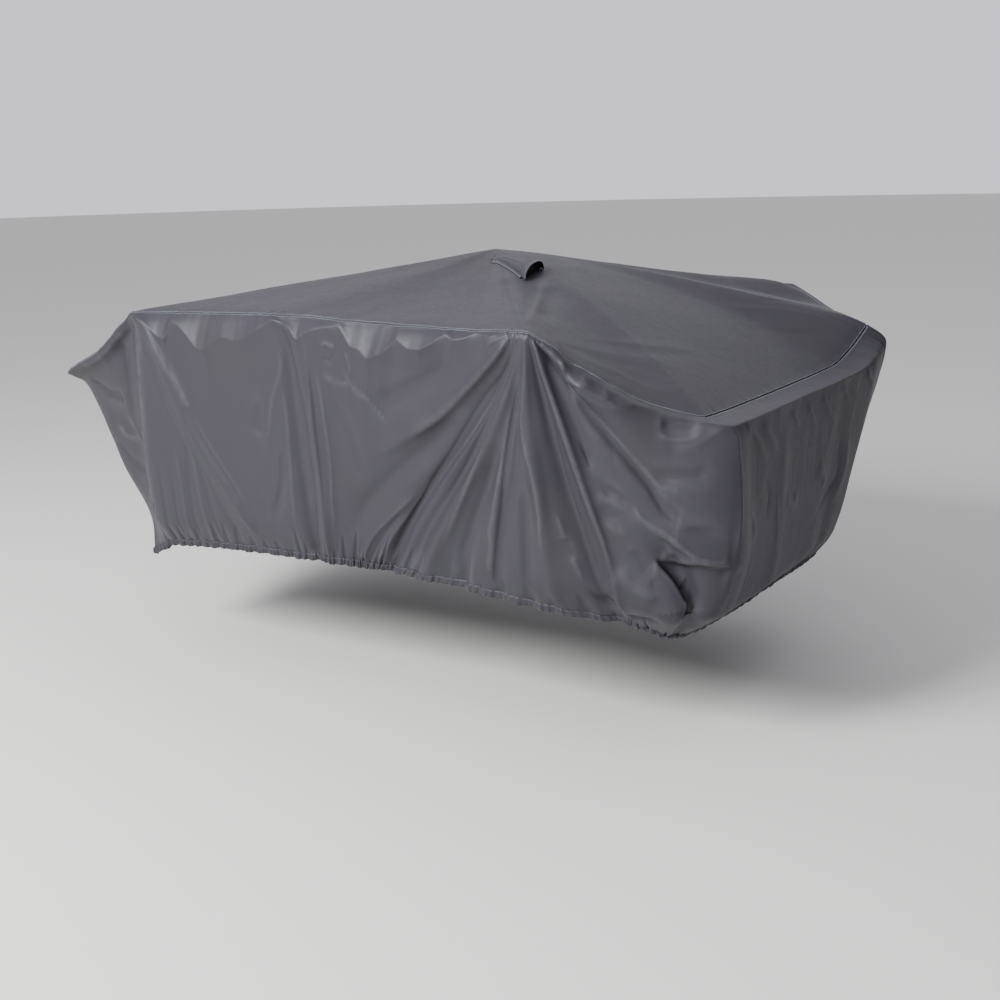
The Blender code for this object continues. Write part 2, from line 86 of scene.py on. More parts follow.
SHOULDER_LEVEL = 0.13      # the levels of a section's points
BELLY_LEVEL = 0.50
TUCK_LEVEL = 0.84
TUCK_SHARE = 0.68          # of the way from the belly to the hem
LIP_LEVEL = -0.07
COLUMN_SWEEP = 2.4         # how early the columns turn down from seam to foot
FOLD_FADE = 0.14           # levels over which a fold starts and ends
FOLD_EDGE = 1.5            # how fast a fold's sides level off

COLUMN_SPACING = 0.0041    # of the cloth's grid
COLUMNS_DIVIDE_BY = 16     # so that the top's rings can halve their points
# Rows of the skirt: from a level, to a level, how many.
SKIRT_ROWS = ((0.0, 0.030, 4), (0.030, 0.13, 8), (0.13, 0.25, 26), (0.25, 0.86, 58), (0.86, 1.0, 20))
# Rows of the top: the same, and every how many columns have a point.
TOP_ROWS = ((0.0, -0.009, 3, 1), (-0.009, -0.10, 10, 2), (-0.10, -0.42, 24, 2),
            (-0.42, -0.72, 15, 4), (-0.72, -0.96, 9, 8))
SEED = 7                   # of the first noise; the others follow
TINY = 1e-12               # keeps a division from failing

SOFT_EDGE = 1.5            # how fast a soft crease levels off
CRISP_TIP = 0.3            # how blunt a crisp crease is, in half widths
LEDGE_TIP = 0.25           # how blunt a ledge is
LEDGE_EASY = 0.55          # how steep its two sides are
LEDGE_STEEP = 1.8
STEP_EDGE = 0.0032         # metres over which a step turns from in to out
STEP_FALL = 0.7            # how fast it levels off
CREASE_REACH = 5           # half widths past which a crease isn't felt
LINE_POINTS = 14           # of a crease's line on the cloth
LINE_ASIDE = 0.02          # sections between the columns that such a point is read from
LINE_DOWN = 0.01           # levels between its rows

WEAR_NAME = "fold_wear"    # the attribute that says how worn the cloth is
WEAR_ROUNDS = 6            # of blurring, to tell ridges from what is round them
WEAR_FULL = 0.0016         # how far a fully worn ridge stands out
MIX_COLOUR_INPUTS = (0, 6, 7)  # a mix node's sockets for colours: share, first, second
MIX_COLOUR_OUTPUT = 2


class Side(Enum):
    """A strip of the skirt, by the way it faces, with the section that it starts at."""

    FRONT = 0
    RIGHT = 14
    BACK = 18
    LEFT = 26


class Profile(Enum):
    """The cut through a crease."""

    SOFT = "soft"        # a round trough or ridge
    CRISP = "crisp"      # a sharp line with hollow flanks
    LEDGE = "ledge"      # steep on the left of its line, and easy on the right
    STEP = "step"        # the cloth on its left stands out, and that on its right is sunk


SOFT, CRISP, LEDGE, STEP = Profile


@dataclass(frozen=True)
class Section:
    """One cut through the cover, from its seam down to its hem.

    x, y, z: the seam, z from the ground. faces: where the cloth faces, in degrees from
    +X. shoulder, drop: out from the seam and down to the shoulder. belly, tuck: bulges
    halfway down and above the hem. hem_x, hem_y, hem_z: the hem. lip, crown: how far the
    top stands over a straight line to its highest point, next to the seam and halfway.
    """

    name: str
    x: float
    y: float
    z: float
    faces: float
    shoulder: float
    drop: float
    belly: float
    tuck: float
    hem_x: float
    hem_y: float
    hem_z: float
    lip: float
    crown: float

    def sizes(self) -> list[float]:
        """The section's numbers, without its name."""
        return list(vars(self).values())[1:]


@dataclass(frozen=True)
class Stretch:
    """Where a run of columns starts, counted in sections at the seam and at the hem."""

    side: Side
    seam: float
    foot: float


@dataclass(frozen=True)
class Fold:
    """A main fold, on a path from a section at the seam to one at the hem.

    sweep: how early the path turns down. width: half the fold's width. out: how far it
    stands out, or in, if less than 0. start, end: the levels between which it is full.
    """

    name: str
    seam: float
    foot: float
    sweep: float
    width: float
    out: float
    start: float
    end: float


@dataclass(frozen=True)
class Crease:
    """A crease on a line through (section, level) points.

    width: half its width. out: how far it stands out, or in, if less than 0. taper: its
    width at the end, as a share of that at the start. fade_in, fade_out: the shares of
    its line over which it rises and dies away.
    """

    line: tuple[Pair, ...]
    width: float
    out: float
    profile: Profile = CRISP
    taper: float = 1.0
    fade_in: float = 0.25
    fade_out: float = 0.25


def run(rows: tuple[tuple, ...], style: tuple = ()) -> list[Crease]:
    """Creases with a style in common.

    Args:
        rows: the line, the width, how far out, and what differs from the style.
        style: the profile, the taper and the two fades, unless they are the usual ones.

    Returns:
        The creases.
    """
    return [Crease(*row, *style[len(row) - 3:]) for row in rows]


SECTIONS = tuple(Section(*row) for row in (
    ("left_ear", -1.085, -0.62, 0.857, -140, -0.045, 0.022, -0.014, -0.02, -0.892, -0.505, 0.272, 0.0, 0.0),
    ("ear_slope", -0.9, -0.655, 0.936, -105, -0.03, 0.05, -0.025, 0.0, -0.815, -0.545, 0.303, 0.004, 0.0),
    ("ear_root", -0.75, -0.676, 1.036, -95, -0.026, 0.04, 0.012, 0.02, -0.748, -0.58, 0.328, 0.003, 0.0),
    ("front_left", -0.703, -0.682, 1.061, -92, 0.008, 0.035, 0.044, 0.036, -0.722, -0.598, 0.343, 0.002, 0.0),
    ("front_flat", -0.4, -0.68, 1.07, -90, 0.006, 0.03, 0.016, 0.012, -0.42, -0.625, 0.378, 0.002, 0.0),
    ("front_fold", -0.13, -0.68, 1.076, -90, 0.006, 0.03, 0.018, 0.012, -0.15, -0.632, 0.388, 0.002, 0.0),
    ("front_dip", 0.18, -0.68, 1.068, -90, 0.004, 0.03, 0.006, 0.006, 0.02, -0.62, 0.389, 0.002, -0.01),
    ("fan_start", 0.46, -0.681, 1.064, -90, 0.005, 0.03, 0.004, 0.004, 0.12, -0.612, 0.386, 0.002, -0.01),
    ("fan_left", 0.575, -0.684, 1.067, -88, 0.006, 0.025, 0.008, 0.008, 0.27, -0.622, 0.388, 0.002, 0.0),
    ("fan_middle", 0.605, -0.687, 1.07, -86, 0.007, 0.022, 0.016, 0.012, 0.47, -0.628, 0.374, 0.002, 0.0),
    ("fan_right", 0.63, -0.684, 1.069, -84, 0.008, 0.022, 0.02, 0.02, 0.66, -0.61, 0.356, 0.002, 0.0),
    ("fan_end", 0.665, -0.672, 1.05, -78, 0.012, 0.026, 0.03, 0.045, 0.81, -0.56, 0.335, 0.002, 0.008),
    ("slope", 0.78, -0.612, 0.962, -62, 0.03, 0.03, 0.064, 0.07, 0.88, -0.525, 0.316, 0.002, 0.036),
    ("slope_foot", 0.9, -0.535, 0.887, -45, 0.052, 0.018, 0.104, 0.086, 0.915, -0.505, 0.304, 0.002, 0.058),
    ("near_right", 0.996, -0.48, 0.863, -18, 0.088, 0.008, 0.112, 0.072, 0.935, -0.475, 0.306, 0.002, 0.062),
    ("right_near", 1.0, -0.32, 0.861, 0, 0.078, 0.012, 0.066, 0.058, 0.935, -0.34, 0.292, 0.002, 0.064),
    ("right_middle", 1.0, 0.0, 0.862, 0, 0.07, 0.014, 0.046, 0.046, 0.94, 0.0, 0.282, 0.002, 0.064),
    ("right_far", 1.006, 0.33, 0.87, 0, 0.082, 0.01, 0.036, 0.036, 0.935, 0.32, 0.276, 0.002, 0.06),
    ("far_right", 1.03, 0.535, 0.957, 36, 0.062, 0.052, 0.014, 0.016, 0.905, 0.505, 0.272, 0.01, 0.03),
    ("back_slope", 0.895, 0.605, 0.996, 66, 0.034, 0.018, 0.03, 0.034, 0.83, 0.545, 0.312, 0.006, 0.014),
    ("back_right", 0.73, 0.652, 1.062, 84, 0.024, 0.008, 0.03, 0.026, 0.69, 0.595, 0.345, 0.01, 0.0),
    ("back_high", 0.4, 0.654, 1.076, 90, 0.022, 0.01, 0.016, 0.014, 0.39, 0.624, 0.378, 0.008, 0.0),
    ("back_middle", 0.0, 0.654, 1.07, 90, 0.018, 0.014, 0.006, 0.006, 0.0, 0.628, 0.386, 0.008, -0.01),
    ("back_flat", -0.4, 0.654, 1.075, 90, 0.022, 0.01, 0.016, 0.014, -0.4, 0.624, 0.378, 0.008, 0.0),
    ("back_left", -0.7, 0.652, 1.06, 97, 0.024, 0.012, 0.03, 0.026, -0.69, 0.596, 0.345, 0.008, 0.0),
    ("left_slope", -0.9, 0.612, 0.96, 112, 0.004, 0.04, 0.004, 0.018, -0.815, 0.545, 0.305, 0.006, 0.01),
    ("far_left", -1.078, 0.56, 0.852, 148, 0.0, 0.03, 0.02, 0.0, -0.892, 0.503, 0.276, 0.012, 0.01),
    ("left_far", -1.108, 0.33, 0.815, 180, 0.012, 0.05, 0.03, 0.03, -0.905, 0.33, 0.3, 0.036, 0.035),
    ("left_middle", -1.114, 0.0, 0.806, 180, 0.01, 0.05, 0.026, 0.03, -0.912, 0.0, 0.312, 0.04, 0.045),
    ("left_near", -1.11, -0.36, 0.818, 183, 0.008, 0.05, 0.02, 0.024, -0.905, -0.36, 0.3, 0.034, 0.035),
))

STRETCHES = tuple(Stretch(*row) for row in (
    (Side.FRONT, 0.0, 0.0),
    (Side.FRONT, 2.45, 2.45),
    (Side.FRONT, 3.05, 3.2),
    (Side.FRONT, 4.75, 4.9),
    (Side.FRONT, 5.4, 5.8),
    (Side.FRONT, 8.1, 6.6),
    (Side.FRONT, 8.8, 7.25),
    (Side.FRONT, 9.3, 8.05),
    (Side.FRONT, 9.9, 9.6),
    (Side.FRONT, 11.0, 11.8),
    (Side.FRONT, 12.9, 13.1),
    (Side.RIGHT, 14.0, 14.0),
    (Side.BACK, 18.0, 18.0),
    (Side.LEFT, 26.0, 26.0),
))

FOLDS = tuple(Fold(*row) for row in (
    ("front_left_crease", 2.72, 2.75, 1.0, 0.014, -0.03, 0.22, 0.88),
    ("left_trough", 2.85, 4.2, 1.0, 0.03, -0.008, 0.16, 0.86),
    ("left_ridge", 3.0, 4.5, 1.0, 0.026, 0.012, 0.1, 0.82),
    ("front_trough", 4.95, 5.22, 1.5, 0.028, -0.016, 0.12, 0.95),
    ("front_ridge", 4.8, 5.47, 3.0, 0.026, 0.013, 0.12, 0.92),
    ("fan_brow", 8.75, 3.7, 1.0, 0.04, 0.012, 0.12, 0.38),
    ("fan_trough_1", 9.65, 7.05, 2.4, 0.03, -0.019, 0.24, 0.95),
    ("fan_rib", 9.7, 7.25, 2.4, 0.014, 0.007, 0.2, 0.5),
    ("fan_trough_2", 10.15, 7.55, 2.4, 0.028, -0.015, 0.22, 0.9),
    ("fan_ridge_1", 9.95, 7.93, 2.4, 0.028, 0.013, 0.22, 0.95),
    ("fan_hollow", 10.0, 8.5, 2.4, 0.04, -0.01, 0.32, 0.95),
    ("fan_line", 10.05, 9.17, 2.4, 0.016, -0.008, 0.24, 0.95),
    ("fan_ridge_2", 10.0, 9.75, 2.4, 0.024, 0.01, 0.16, 0.4),
    ("fan_ridge_3", 9.85, 10.03, 2.4, 0.022, 0.01, 0.46, 0.9),
    ("fan_trough_3", 10.3, 11.05, 1.0, 0.034, -0.016, 0.2, 0.95),
    ("fan_ridge_4", 10.45, 11.31, 3.5, 0.022, 0.012, 0.14, 0.88),
    ("fan_trough_4", 10.85, 12.9, 1.0, 0.042, -0.006, 0.12, 0.42),
    ("corner_crease", 10.3, 17.0, 1.0, 0.036, -0.014, 0.14, 0.38),
    ("corner_pocket", 9.5, 13.2, 2.4, 0.036, -0.034, 0.62, 0.9),
    ("end_crease", 14.5, 14.75, 1.5, 0.04, -0.006, 0.26, 0.8),
    ("end_ridge", 15.45, 15.55, 1.5, 0.05, 0.006, 0.35, 0.8),
    ("end_trough", 16.7, 16.85, 1.5, 0.06, -0.008, 0.25, 0.9),
    ("end_far_ridge", 17.4, 17.5, 1.5, 0.05, 0.008, 0.2, 0.9),
    ("back_ridge_1", 20.05, 19.5, 1.5, 0.036, 0.014, 0.16, 0.92),
    ("back_trough_1", 20.2, 20.35, 1.5, 0.04, -0.02, 0.18, 0.95),
    ("back_ridge_2", 20.12, 20.85, 1.5, 0.04, 0.015, 0.16, 0.92),
    ("back_trough_2", 20.2, 21.35, 1.5, 0.046, -0.016, 0.2, 0.9),
    ("back_trough_3", 22.0, 22.1, 1.5, 0.06, -0.014, 0.2, 0.95),
    ("back_ridge_3", 23.85, 22.9, 1.5, 0.044, 0.014, 0.16, 0.9),
    ("back_trough_4", 23.92, 23.45, 1.5, 0.04, -0.018, 0.18, 0.95),
    ("back_ridge_4", 24.0, 23.92, 1.5, 0.036, 0.014, 0.16, 0.92),
    ("back_trough_5", 24.05, 24.4, 1.5, 0.036, -0.016, 0.18, 0.92),
    ("left_trough_1", 26.35, 26.6, 1.5, 0.04, -0.014, 0.2, 0.9),
    ("left_ridge_1", 27.4, 27.3, 1.5, 0.05, 0.012, 0.16, 0.9),
    ("left_trough_2", 28.4, 28.6, 1.5, 0.05, -0.014, 0.2, 0.92),
    ("left_ridge_2", 29.3, 29.5, 1.5, 0.044, 0.012, 0.16, 0.9),
    ("vent_fold_1", 9.7, 9.7, 1.0, 0.05, -0.008, -0.62, -0.16),
    ("vent_fold_2", 10.9, 10.9, 1.0, 0.045, 0.008, -0.62, -0.16),
))

CREASES = (
    # the ear at the left end of the front
    *run((
        (((0.25, 0.16), (0.62, 0.24), (1.05, 0.27)), 0.012, -0.01, CRISP, 1.0, 0.25, 0.1),
        (((0.3, 0.02), (0.84, 0.05), (1.6, 0.05), (2.6, 0.07)), 0.014, 0.006),
        (((1.75, 0.06), (1.45, 0.22), (1.1, 0.36)), 0.016, -0.008),
    )),
    # ear facet
    *run((
        (((0.5, 0.34), (0.75, 0.4), (1.2, 0.42)), 0.012, 0.005),
        (((0.2, 0.4), (0.7, 0.52), (1.5, 0.62)), 0.014, -0.005),
        (((0.9, 0.3), (1.3, 0.48), (1.9, 0.72)), 0.01, 0.004),
    )),
    *run((
        (((3.02, 0.01), (3.01, 0.3), (3.01, 0.57), (2.96, 0.76)), 0.012, 0.0035, STEP, 1.0, 0.06, 0.25),
        (((2.96, 0.02), (2.94, 0.3), (2.94, 0.6), (2.92, 0.92)), 0.006, -0.014),
    ), (CRISP, 1.0, 0.06, 0.1)),
    # the left half of the front
    *run((
        (((3.18, 0.1), (3.37, 0.23), (3.6, 0.34), (3.73, 0.41)), 0.011, 0.005),
        (((3.71, 0.41), (3.83, 0.48), (3.98, 0.58), (4.18, 0.7), (4.35, 0.83)), 0.008, 0.0018, STEP, 1.0,
         0.25, 0.25),
    ), (LEDGE, 1.0, 0.3, 0.15)),
    # left fan
    *run((
        (((3.52, 0.44), (3.59, 0.6), (3.59, 0.97)), 0.006, -0.0022),
        (((3.6, 0.4), (3.67, 0.52), (3.76, 0.72), (3.88, 0.97)), 0.005, -0.002),
        (((3.71, 0.55), (3.91, 0.8), (4.15, 0.98)), 0.005, -0.0018),
        (((3.25, 0.56), (3.25, 0.73), (3.22, 0.98)), 0.005, -0.002),
        (((3.38, 0.6), (3.4, 0.72), (3.38, 0.98)), 0.005, -0.0018),
        (((3.46, 0.5), (3.5, 0.7), (3.49, 0.97)), 0.006, 0.0016),
        (((3.64, 0.5), (3.68, 0.7), (3.74, 0.97)), 0.006, 0.0016),
    ), (CRISP, 1.0, 0.25, 0.05)),
    *run((
        (((4.67, 0.36), (4.6, 0.42), (4.58, 0.455)), 0.018, -0.004, SOFT, 1.4, 0.5, 0.12),
        (((4.95, 0.2), (4.94, 0.28), (4.81, 0.37), (4.7, 0.5)), 0.008, 0.0025),
        (((4.9, 0.5), (4.84, 0.64), (4.66, 0.82)), 0.014, -0.005, SOFT),
    )),
    # front line
    *run((
        (((4.93, 0.28), (4.98, 0.45), (4.98, 0.6), (4.95, 0.9)), 0.007, 0.0025),
    )),
    *run((
        (((5.09, 0.08), (5.12, 0.28), (5.22, 0.45), (5.27, 0.7), (5.22, 0.98)), 0.012, -0.006),
    ), (CRISP, 1.0, 0.15, 0.04)),
    # front line
    *run((
        (((5.2, 0.1), (5.3, 0.25), (5.36, 0.45)), 0.006, 0.002),
    )),
    *run((
        (((5.24, 0.16), (5.38, 0.38), (5.46, 0.6), (5.5, 0.86)), 0.007, -0.003),
    )),
    # front line
    *run((
        (((5.36, 0.24), (5.47, 0.38), (5.56, 0.55), (5.62, 0.9)), 0.006, 0.0028),
    )),
    # front bead
    *run((
        (((5.44, 0.205), (5.5, 0.19), (5.56, 0.2), (5.6, 0.185)), 0.006, 0.0035),
        (((5.45, 0.235), (5.53, 0.245), (5.6, 0.225)), 0.005, -0.0025),
        (((5.7, 0.2), (5.76, 0.25), (5.78, 0.29)), 0.005, 0.0025),
    )),
    # front facet
    *run((
        (((5.45, 0.27), (5.54, 0.292), (5.66, 0.3), (5.8, 0.303)), 0.007, 0.0024),
        (((5.68, 0.245), (5.78, 0.3), (5.91, 0.324), (6.06, 0.326)), 0.007, 0.0026),
        (((5.7, 0.265), (5.95, 0.32), (6.12, 0.355), (6.37, 0.397)), 0.004, -0.0028, STEP),
    ), (LEDGE, 1.0, 0.25, 0.25)),
    *run((
        (((5.55, 0.34), (5.8, 0.44), (6.05, 0.6)), 0.016, -0.003),
        (((6.95, 0.2), (6.55, 0.28), (6.0, 0.36)), 0.03, -0.006),
    ), (SOFT, 1.0, 0.25, 0.25)),
    # the fan under the front's high corner
    *run((
        (((8.6, 0.06), (8.23, 0.1), (7.56, 0.24), (7.03, 0.35), (6.6, 0.43)), 0.013, 0.006, LEDGE, 1.5),
        (((8.3, 0.04), (7.9, 0.08), (7.4, 0.15)), 0.01, 0.005),
        (((7.5, 0.34), (7.12, 0.41), (6.67, 0.52), (6.07, 0.74), (5.9, 0.88)), 0.03, -0.01, SOFT, 1.2,
         0.25),
    ), (LEDGE, 1.2, 0.1, 0.25)),
    # under brow
    *run((
        (((7.1, 0.6), (6.81, 0.72), (6.4, 0.86), (6.23, 0.97)), 0.01, 0.005, LEDGE),
        (((7.31, 0.54), (6.96, 0.77), (6.7, 0.97)), 0.008, 0.004),
        (((6.98, 0.7), (6.62, 0.86), (6.44, 0.97)), 0.008, -0.004),
    ), (CRISP, 1.0, 0.25, 0.05)),
    *run((
        (((9.08, 0.14), (8.3, 0.24), (7.81, 0.31), (7.52, 0.44), (7.18, 0.65), (6.99, 0.94)), 0.01,
         -0.005, CRISP, 1.0, 0.2, 0.06),
        (((9.22, 0.14), (8.7, 0.22), (8.25, 0.33), (8.03, 0.45), (7.83, 0.62), (7.72, 0.8)), 0.01, -0.004,
         CRISP, 1.0, 0.2),
        (((9.0, 0.18), (8.4, 0.28), (7.9, 0.37), (7.62, 0.5)), 0.006, 0.003),
        (((9.3, 0.16), (8.75, 0.3), (8.41, 0.42), (8.27, 0.57), (8.06, 0.87)), 0.009, 0.005),
        (((8.8, 0.4), (8.66, 0.55), (8.5, 0.75), (8.46, 0.96)), 0.02, -0.007, SOFT),
        (((9.05, 0.44), (8.95, 0.62), (8.9, 0.8)), 0.018, 0.005, SOFT),
        (((9.5, 0.25), (9.18, 0.345), (9.13, 0.4), (9.1, 0.48), (9.11, 0.58), (9.08, 0.76), (9.06, 0.95)),
         0.006, -0.0065, CRISP, 1.0, 0.15, 0.05),
        (((9.3, 0.28), (9.05, 0.36), (8.98, 0.48), (8.98, 0.62), (8.96, 0.9)), 0.009, 0.0045, CRISP, 1.0,
         0.2, 0.06),
        (((9.93, 0.12), (9.83, 0.245), (9.66, 0.355), (9.84, 0.43), (9.98, 0.555), (9.9, 0.8)), 0.01,
         0.007),
        (((9.76, 0.42), (9.81, 0.47), (9.84, 0.57), (9.88, 0.7)), 0.007, -0.006),
        (((9.62, 0.52), (9.6, 0.68), (9.58, 0.94)), 0.018, -0.007, SOFT),
        (((10.24, 0.15), (10.57, 0.25), (10.67, 0.345), (10.71, 0.45), (10.78, 0.6), (10.84, 0.78),
         (10.92, 0.95)), 0.011, -0.006, CRISP, 1.0, 0.25, 0.05),
        (((10.3, 0.56), (10.46, 0.7), (10.62, 0.86)), 0.008, 0.004),
        (((10.45, 0.06), (10.72, 0.13), (10.96, 0.22), (11.08, 0.292), (11.17, 0.376), (11.23, 0.46),
         (11.34, 0.62), (11.31, 0.81)), 0.008, 0.006, CRISP, 1.0, 0.12, 0.3),
        (((10.9, 0.1), (11.2, 0.2), (11.4, 0.29), (11.62, 0.38)), 0.02, -0.004, SOFT, 1.0, 0.3),
        (((11.4, 0.345), (11.47, 0.366), (11.49, 0.395)), 0.004, -0.005),
    )),
    # the right half of the front, and its pocket
    *run((
        (((11.34, 0.17), (11.61, 0.232), (11.97, 0.282), (12.52, 0.355), (12.78, 0.418), (13.16, 0.44)),
         0.014, -0.0075, CRISP, 0.7, 0.25, 0.15),
        (((11.75, 0.22), (12.15, 0.275), (12.65, 0.345), (12.9, 0.4)), 0.01, 0.005, LEDGE),
        (((12.14, 0.43), (12.39, 0.46), (12.75, 0.481), (13.28, 0.555), (13.73, 0.597)), 0.009, 0.006,
         LEDGE, 1.0, 0.15, 0.1),
        (((11.59, 0.435), (11.87, 0.418), (12.14, 0.429)), 0.006, -0.005, LEDGE, 0.8, 0.3, 0.2),
        (((11.46, 0.462), (11.76, 0.452), (12.02, 0.452)), 0.007, 0.003),
        (((11.47, 0.485), (11.68, 0.505), (11.93, 0.475)), 0.008, -0.0035),
        (((11.52, 0.53), (11.72, 0.555), (11.98, 0.52)), 0.012, 0.002, SOFT),
        (((12.86, 0.468), (13.16, 0.455), (13.37, 0.452), (13.62, 0.462)), 0.009, -0.0045, LEDGE, 0.8,
         0.4, 0.3),
        (((12.55, 0.5), (12.9, 0.535), (13.25, 0.575)), 0.01, -0.005, SOFT),
        (((12.42, 0.6), (12.7, 0.655), (12.92, 0.73), (13.11, 0.81), (13.18, 0.865)), 0.03, -0.012, STEP,
         1.0, 0.2, 0.3),
        (((12.49, 0.597), (12.79, 0.606), (13.28, 0.586), (13.75, 0.592)), 0.03, 0.009, STEP, 1.0, 0.1,
         0.1),
        (((10.44, 0.665), (10.48, 0.71), (10.57, 0.745)), 0.007, -0.006, LEDGE),
        (((10.6, 0.86), (10.9, 0.92), (11.4, 0.935), (12.05, 0.91), (12.6, 0.895)), 0.01, -0.009),
        (((11.35, 0.72), (11.8, 0.76), (12.4, 0.78)), 0.03, 0.008, SOFT),
        (((11.9, 0.6), (12.25, 0.66), (12.35, 0.76)), 0.014, -0.005),
    )),
    # facet
    *run((
        (((12.8, 0.2), (13.02, 0.222), (13.25, 0.215), (13.5, 0.17)), 0.012, 0.003),
    ), (SOFT, 1.0, 0.25, 0.25)),
    *run((
        (((12.6, 0.125), (12.28, 0.162), (12.02, 0.181), (11.81, 0.184), (11.55, 0.205)), 0.022, 0.0042),
    ), (LEDGE, 1.0, 0.4, 0.1)),
    # pucker
    *run((
        (((11.43, 0.06), (11.55, 0.118)), 0.006, 0.002),
        (((11.59, 0.06), (11.67, 0.135)), 0.005, -0.002),
        (((11.75, 0.06), (11.84, 0.13)), 0.006, 0.0022),
        (((11.9, 0.07), (12.03, 0.13)), 0.005, -0.0022),
        (((12.07, 0.07), (12.16, 0.139)), 0.006, 0.002),
        (((12.26, 0.07), (12.31, 0.148)), 0.005, -0.002),
        (((12.48, 0.06), (12.5, 0.12)), 0.006, 0.002),
    )),
    # facet
    *run((
        (((12.59, 0.338), (12.94, 0.322), (13.27, 0.316), (13.49, 0.285)), 0.012, -0.005),
        (((12.86, 0.175), (13.12, 0.15), (13.42, 0.115)), 0.018, -0.008, SOFT),
        (((12.98, 0.245), (13.25, 0.24), (13.5, 0.2), (13.86, 0.125)), 0.012, 0.003),
        (((12.7, 0.352), (12.86, 0.352), (13.05, 0.35)), 0.007, 0.002, LEDGE),
    )),
    *run((
        (((13.99, 0.14), (13.97, 0.245), (13.99, 0.324), (13.93, 0.43), (13.83, 0.502), (13.73, 0.597)),
         0.009, 0.006),
        (((13.95, 0.6), (14.1, 0.72), (14.2, 0.86)), 0.02, -0.008, SOFT, 1.0, 0.25),
    ), (CRISP, 1.0, 0.1, 0.25)),
    # wedges under the right end's edge
    *run((
        (((14.36, 0.14), (14.65, 0.208), (14.89, 0.261), (15.15, 0.32)), 0.017, 0.007),
        (((14.89, 0.16), (15.08, 0.232), (15.23, 0.282), (15.41, 0.32)), 0.014, 0.0055),
        (((15.57, 0.18), (15.74, 0.241), (15.9, 0.285)), 0.012, 0.0055),
        (((15.93, 0.18), (16.1, 0.25), (16.28, 0.295)), 0.012, 0.0055),
        (((16.26, 0.18), (16.43, 0.25), (16.72, 0.32)), 0.012, 0.006),
        (((16.64, 0.17), (16.83, 0.245), (16.92, 0.29)), 0.011, 0.006),
        (((17.21, 0.11), (17.26, 0.185), (17.54, 0.26)), 0.012, 0.0065),
        (((14.3, 0.1), (14.44, 0.17), (14.56, 0.25)), 0.011, 0.003, SOFT, 0.5, 0.45),
    ), (SOFT, 0.35, 0.3, 0.5)),
    *run((
        (((15.38, 0.42), (15.42, 0.5), (15.49, 0.68)), 0.006, 0.0025),
    )),
    # end dent
    *run((
        (((15.6, 0.46), (15.8, 0.5), (15.95, 0.47)), 0.014, 0.005),
        (((16.35, 0.42), (16.54, 0.47), (16.6, 0.53)), 0.018, 0.006, SOFT),
    )),
    *run((
        (((16.8, 0.36), (16.93, 0.5), (16.6, 0.62), (16.44, 0.68)), 0.018, -0.0045, SOFT),
        (((16.97, 0.36), (17.08, 0.49), (16.91, 0.65)), 0.014, 0.0035),
    )),
    # end dent
    *run((
        (((14.5, 0.4), (14.72, 0.46), (14.8, 0.56)), 0.016, 0.005, SOFT),
        (((15.05, 0.36), (15.2, 0.42), (15.16, 0.5)), 0.012, -0.004),
    )),
    # the top
    *run((
        (((9.3, -0.62), (9.35, -0.42), (9.45, -0.22)), 0.03, -0.006, SOFT, 1.0, 0.25, 0.25),
        (((12.09, -0.56), (11.78, -0.5), (11.47, -0.42), (11.2, -0.327), (10.87, -0.233), (10.58, -0.18),
         (10.21, -0.113)), 0.02, -0.005),
        (((12.83, -0.62), (12.22, -0.54), (11.88, -0.48), (11.54, -0.38), (11.27, -0.287), (10.91, -0.18),
         (10.52, -0.091)), 0.016, 0.0045),
        (((12.83, -0.58), (12.46, -0.52), (12.15, -0.46), (11.88, -0.393), (11.64, -0.313),
         (11.37, -0.207)), 0.024, -0.006, SOFT, 0.8, 0.2, 0.3),
    ), (SOFT, 0.8, 0.2, 0.2)),
    # top streak
    *run((
        (((10.44, 0.022), (11.27, -0.045), (11.78, -0.127), (12.29, -0.167), (12.76, -0.193),
         (13.31, -0.207), (13.8, -0.207), (14.63, -0.18)), 0.012, 0.0016),
        (((11.54, -0.082), (11.95, -0.113), (12.36, -0.127), (12.83, -0.153), (13.27, -0.153),
         (13.63, -0.14), (14.25, -0.127)), 0.012, -0.0016),
        (((11.61, -0.127), (12.29, -0.207), (12.98, -0.247), (13.63, -0.247), (14.44, -0.22),
         (15.09, -0.193), (15.41, -0.153)), 0.01, -0.0016),
        (((11.24, -0.054), (11.88, -0.167), (12.76, -0.247), (13.67, -0.273), (14.7, -0.247),
         (15.28, -0.207), (15.64, -0.153)), 0.01, 0.0016),
        (((11.78, -0.064), (12.19, -0.082), (12.56, -0.091), (12.87, -0.082), (13.23, -0.073),
         (13.55, -0.064)), 0.01, 0.0016),
    )),
    # top far
    *run((
        (((17.9, -0.06), (17.7, -0.22), (17.2, -0.34)), 0.009, 0.0018),
        (((18.1, -0.05), (18.1, -0.18), (17.8, -0.3)), 0.009, -0.0018),
        (((18.4, -0.05), (18.6, -0.16), (18.6, -0.3)), 0.009, 0.0018),
        (((17.6, -0.05), (17.2, -0.16), (16.6, -0.24)), 0.009, -0.0018),
        (((18.8, -0.05), (19.1, -0.14), (19.3, -0.26)), 0.009, -0.0018),
    )),
    # the back and the left end
    *run((
        (((20.1, 0.06), (19.9, 0.3), (19.6, 0.6), (19.5, 0.96)), 0.009, 0.008),
        (((20.16, 0.06), (20.3, 0.34), (20.4, 0.66), (20.4, 0.96)), 0.009, -0.008),
        (((20.22, 0.05), (20.62, 0.3), (20.86, 0.6), (21.0, 0.96)), 0.008, 0.007),
        (((20.26, 0.05), (20.9, 0.26), (21.4, 0.52), (21.7, 0.86)), 0.012, -0.007, CRISP, 1.0, 0.25),
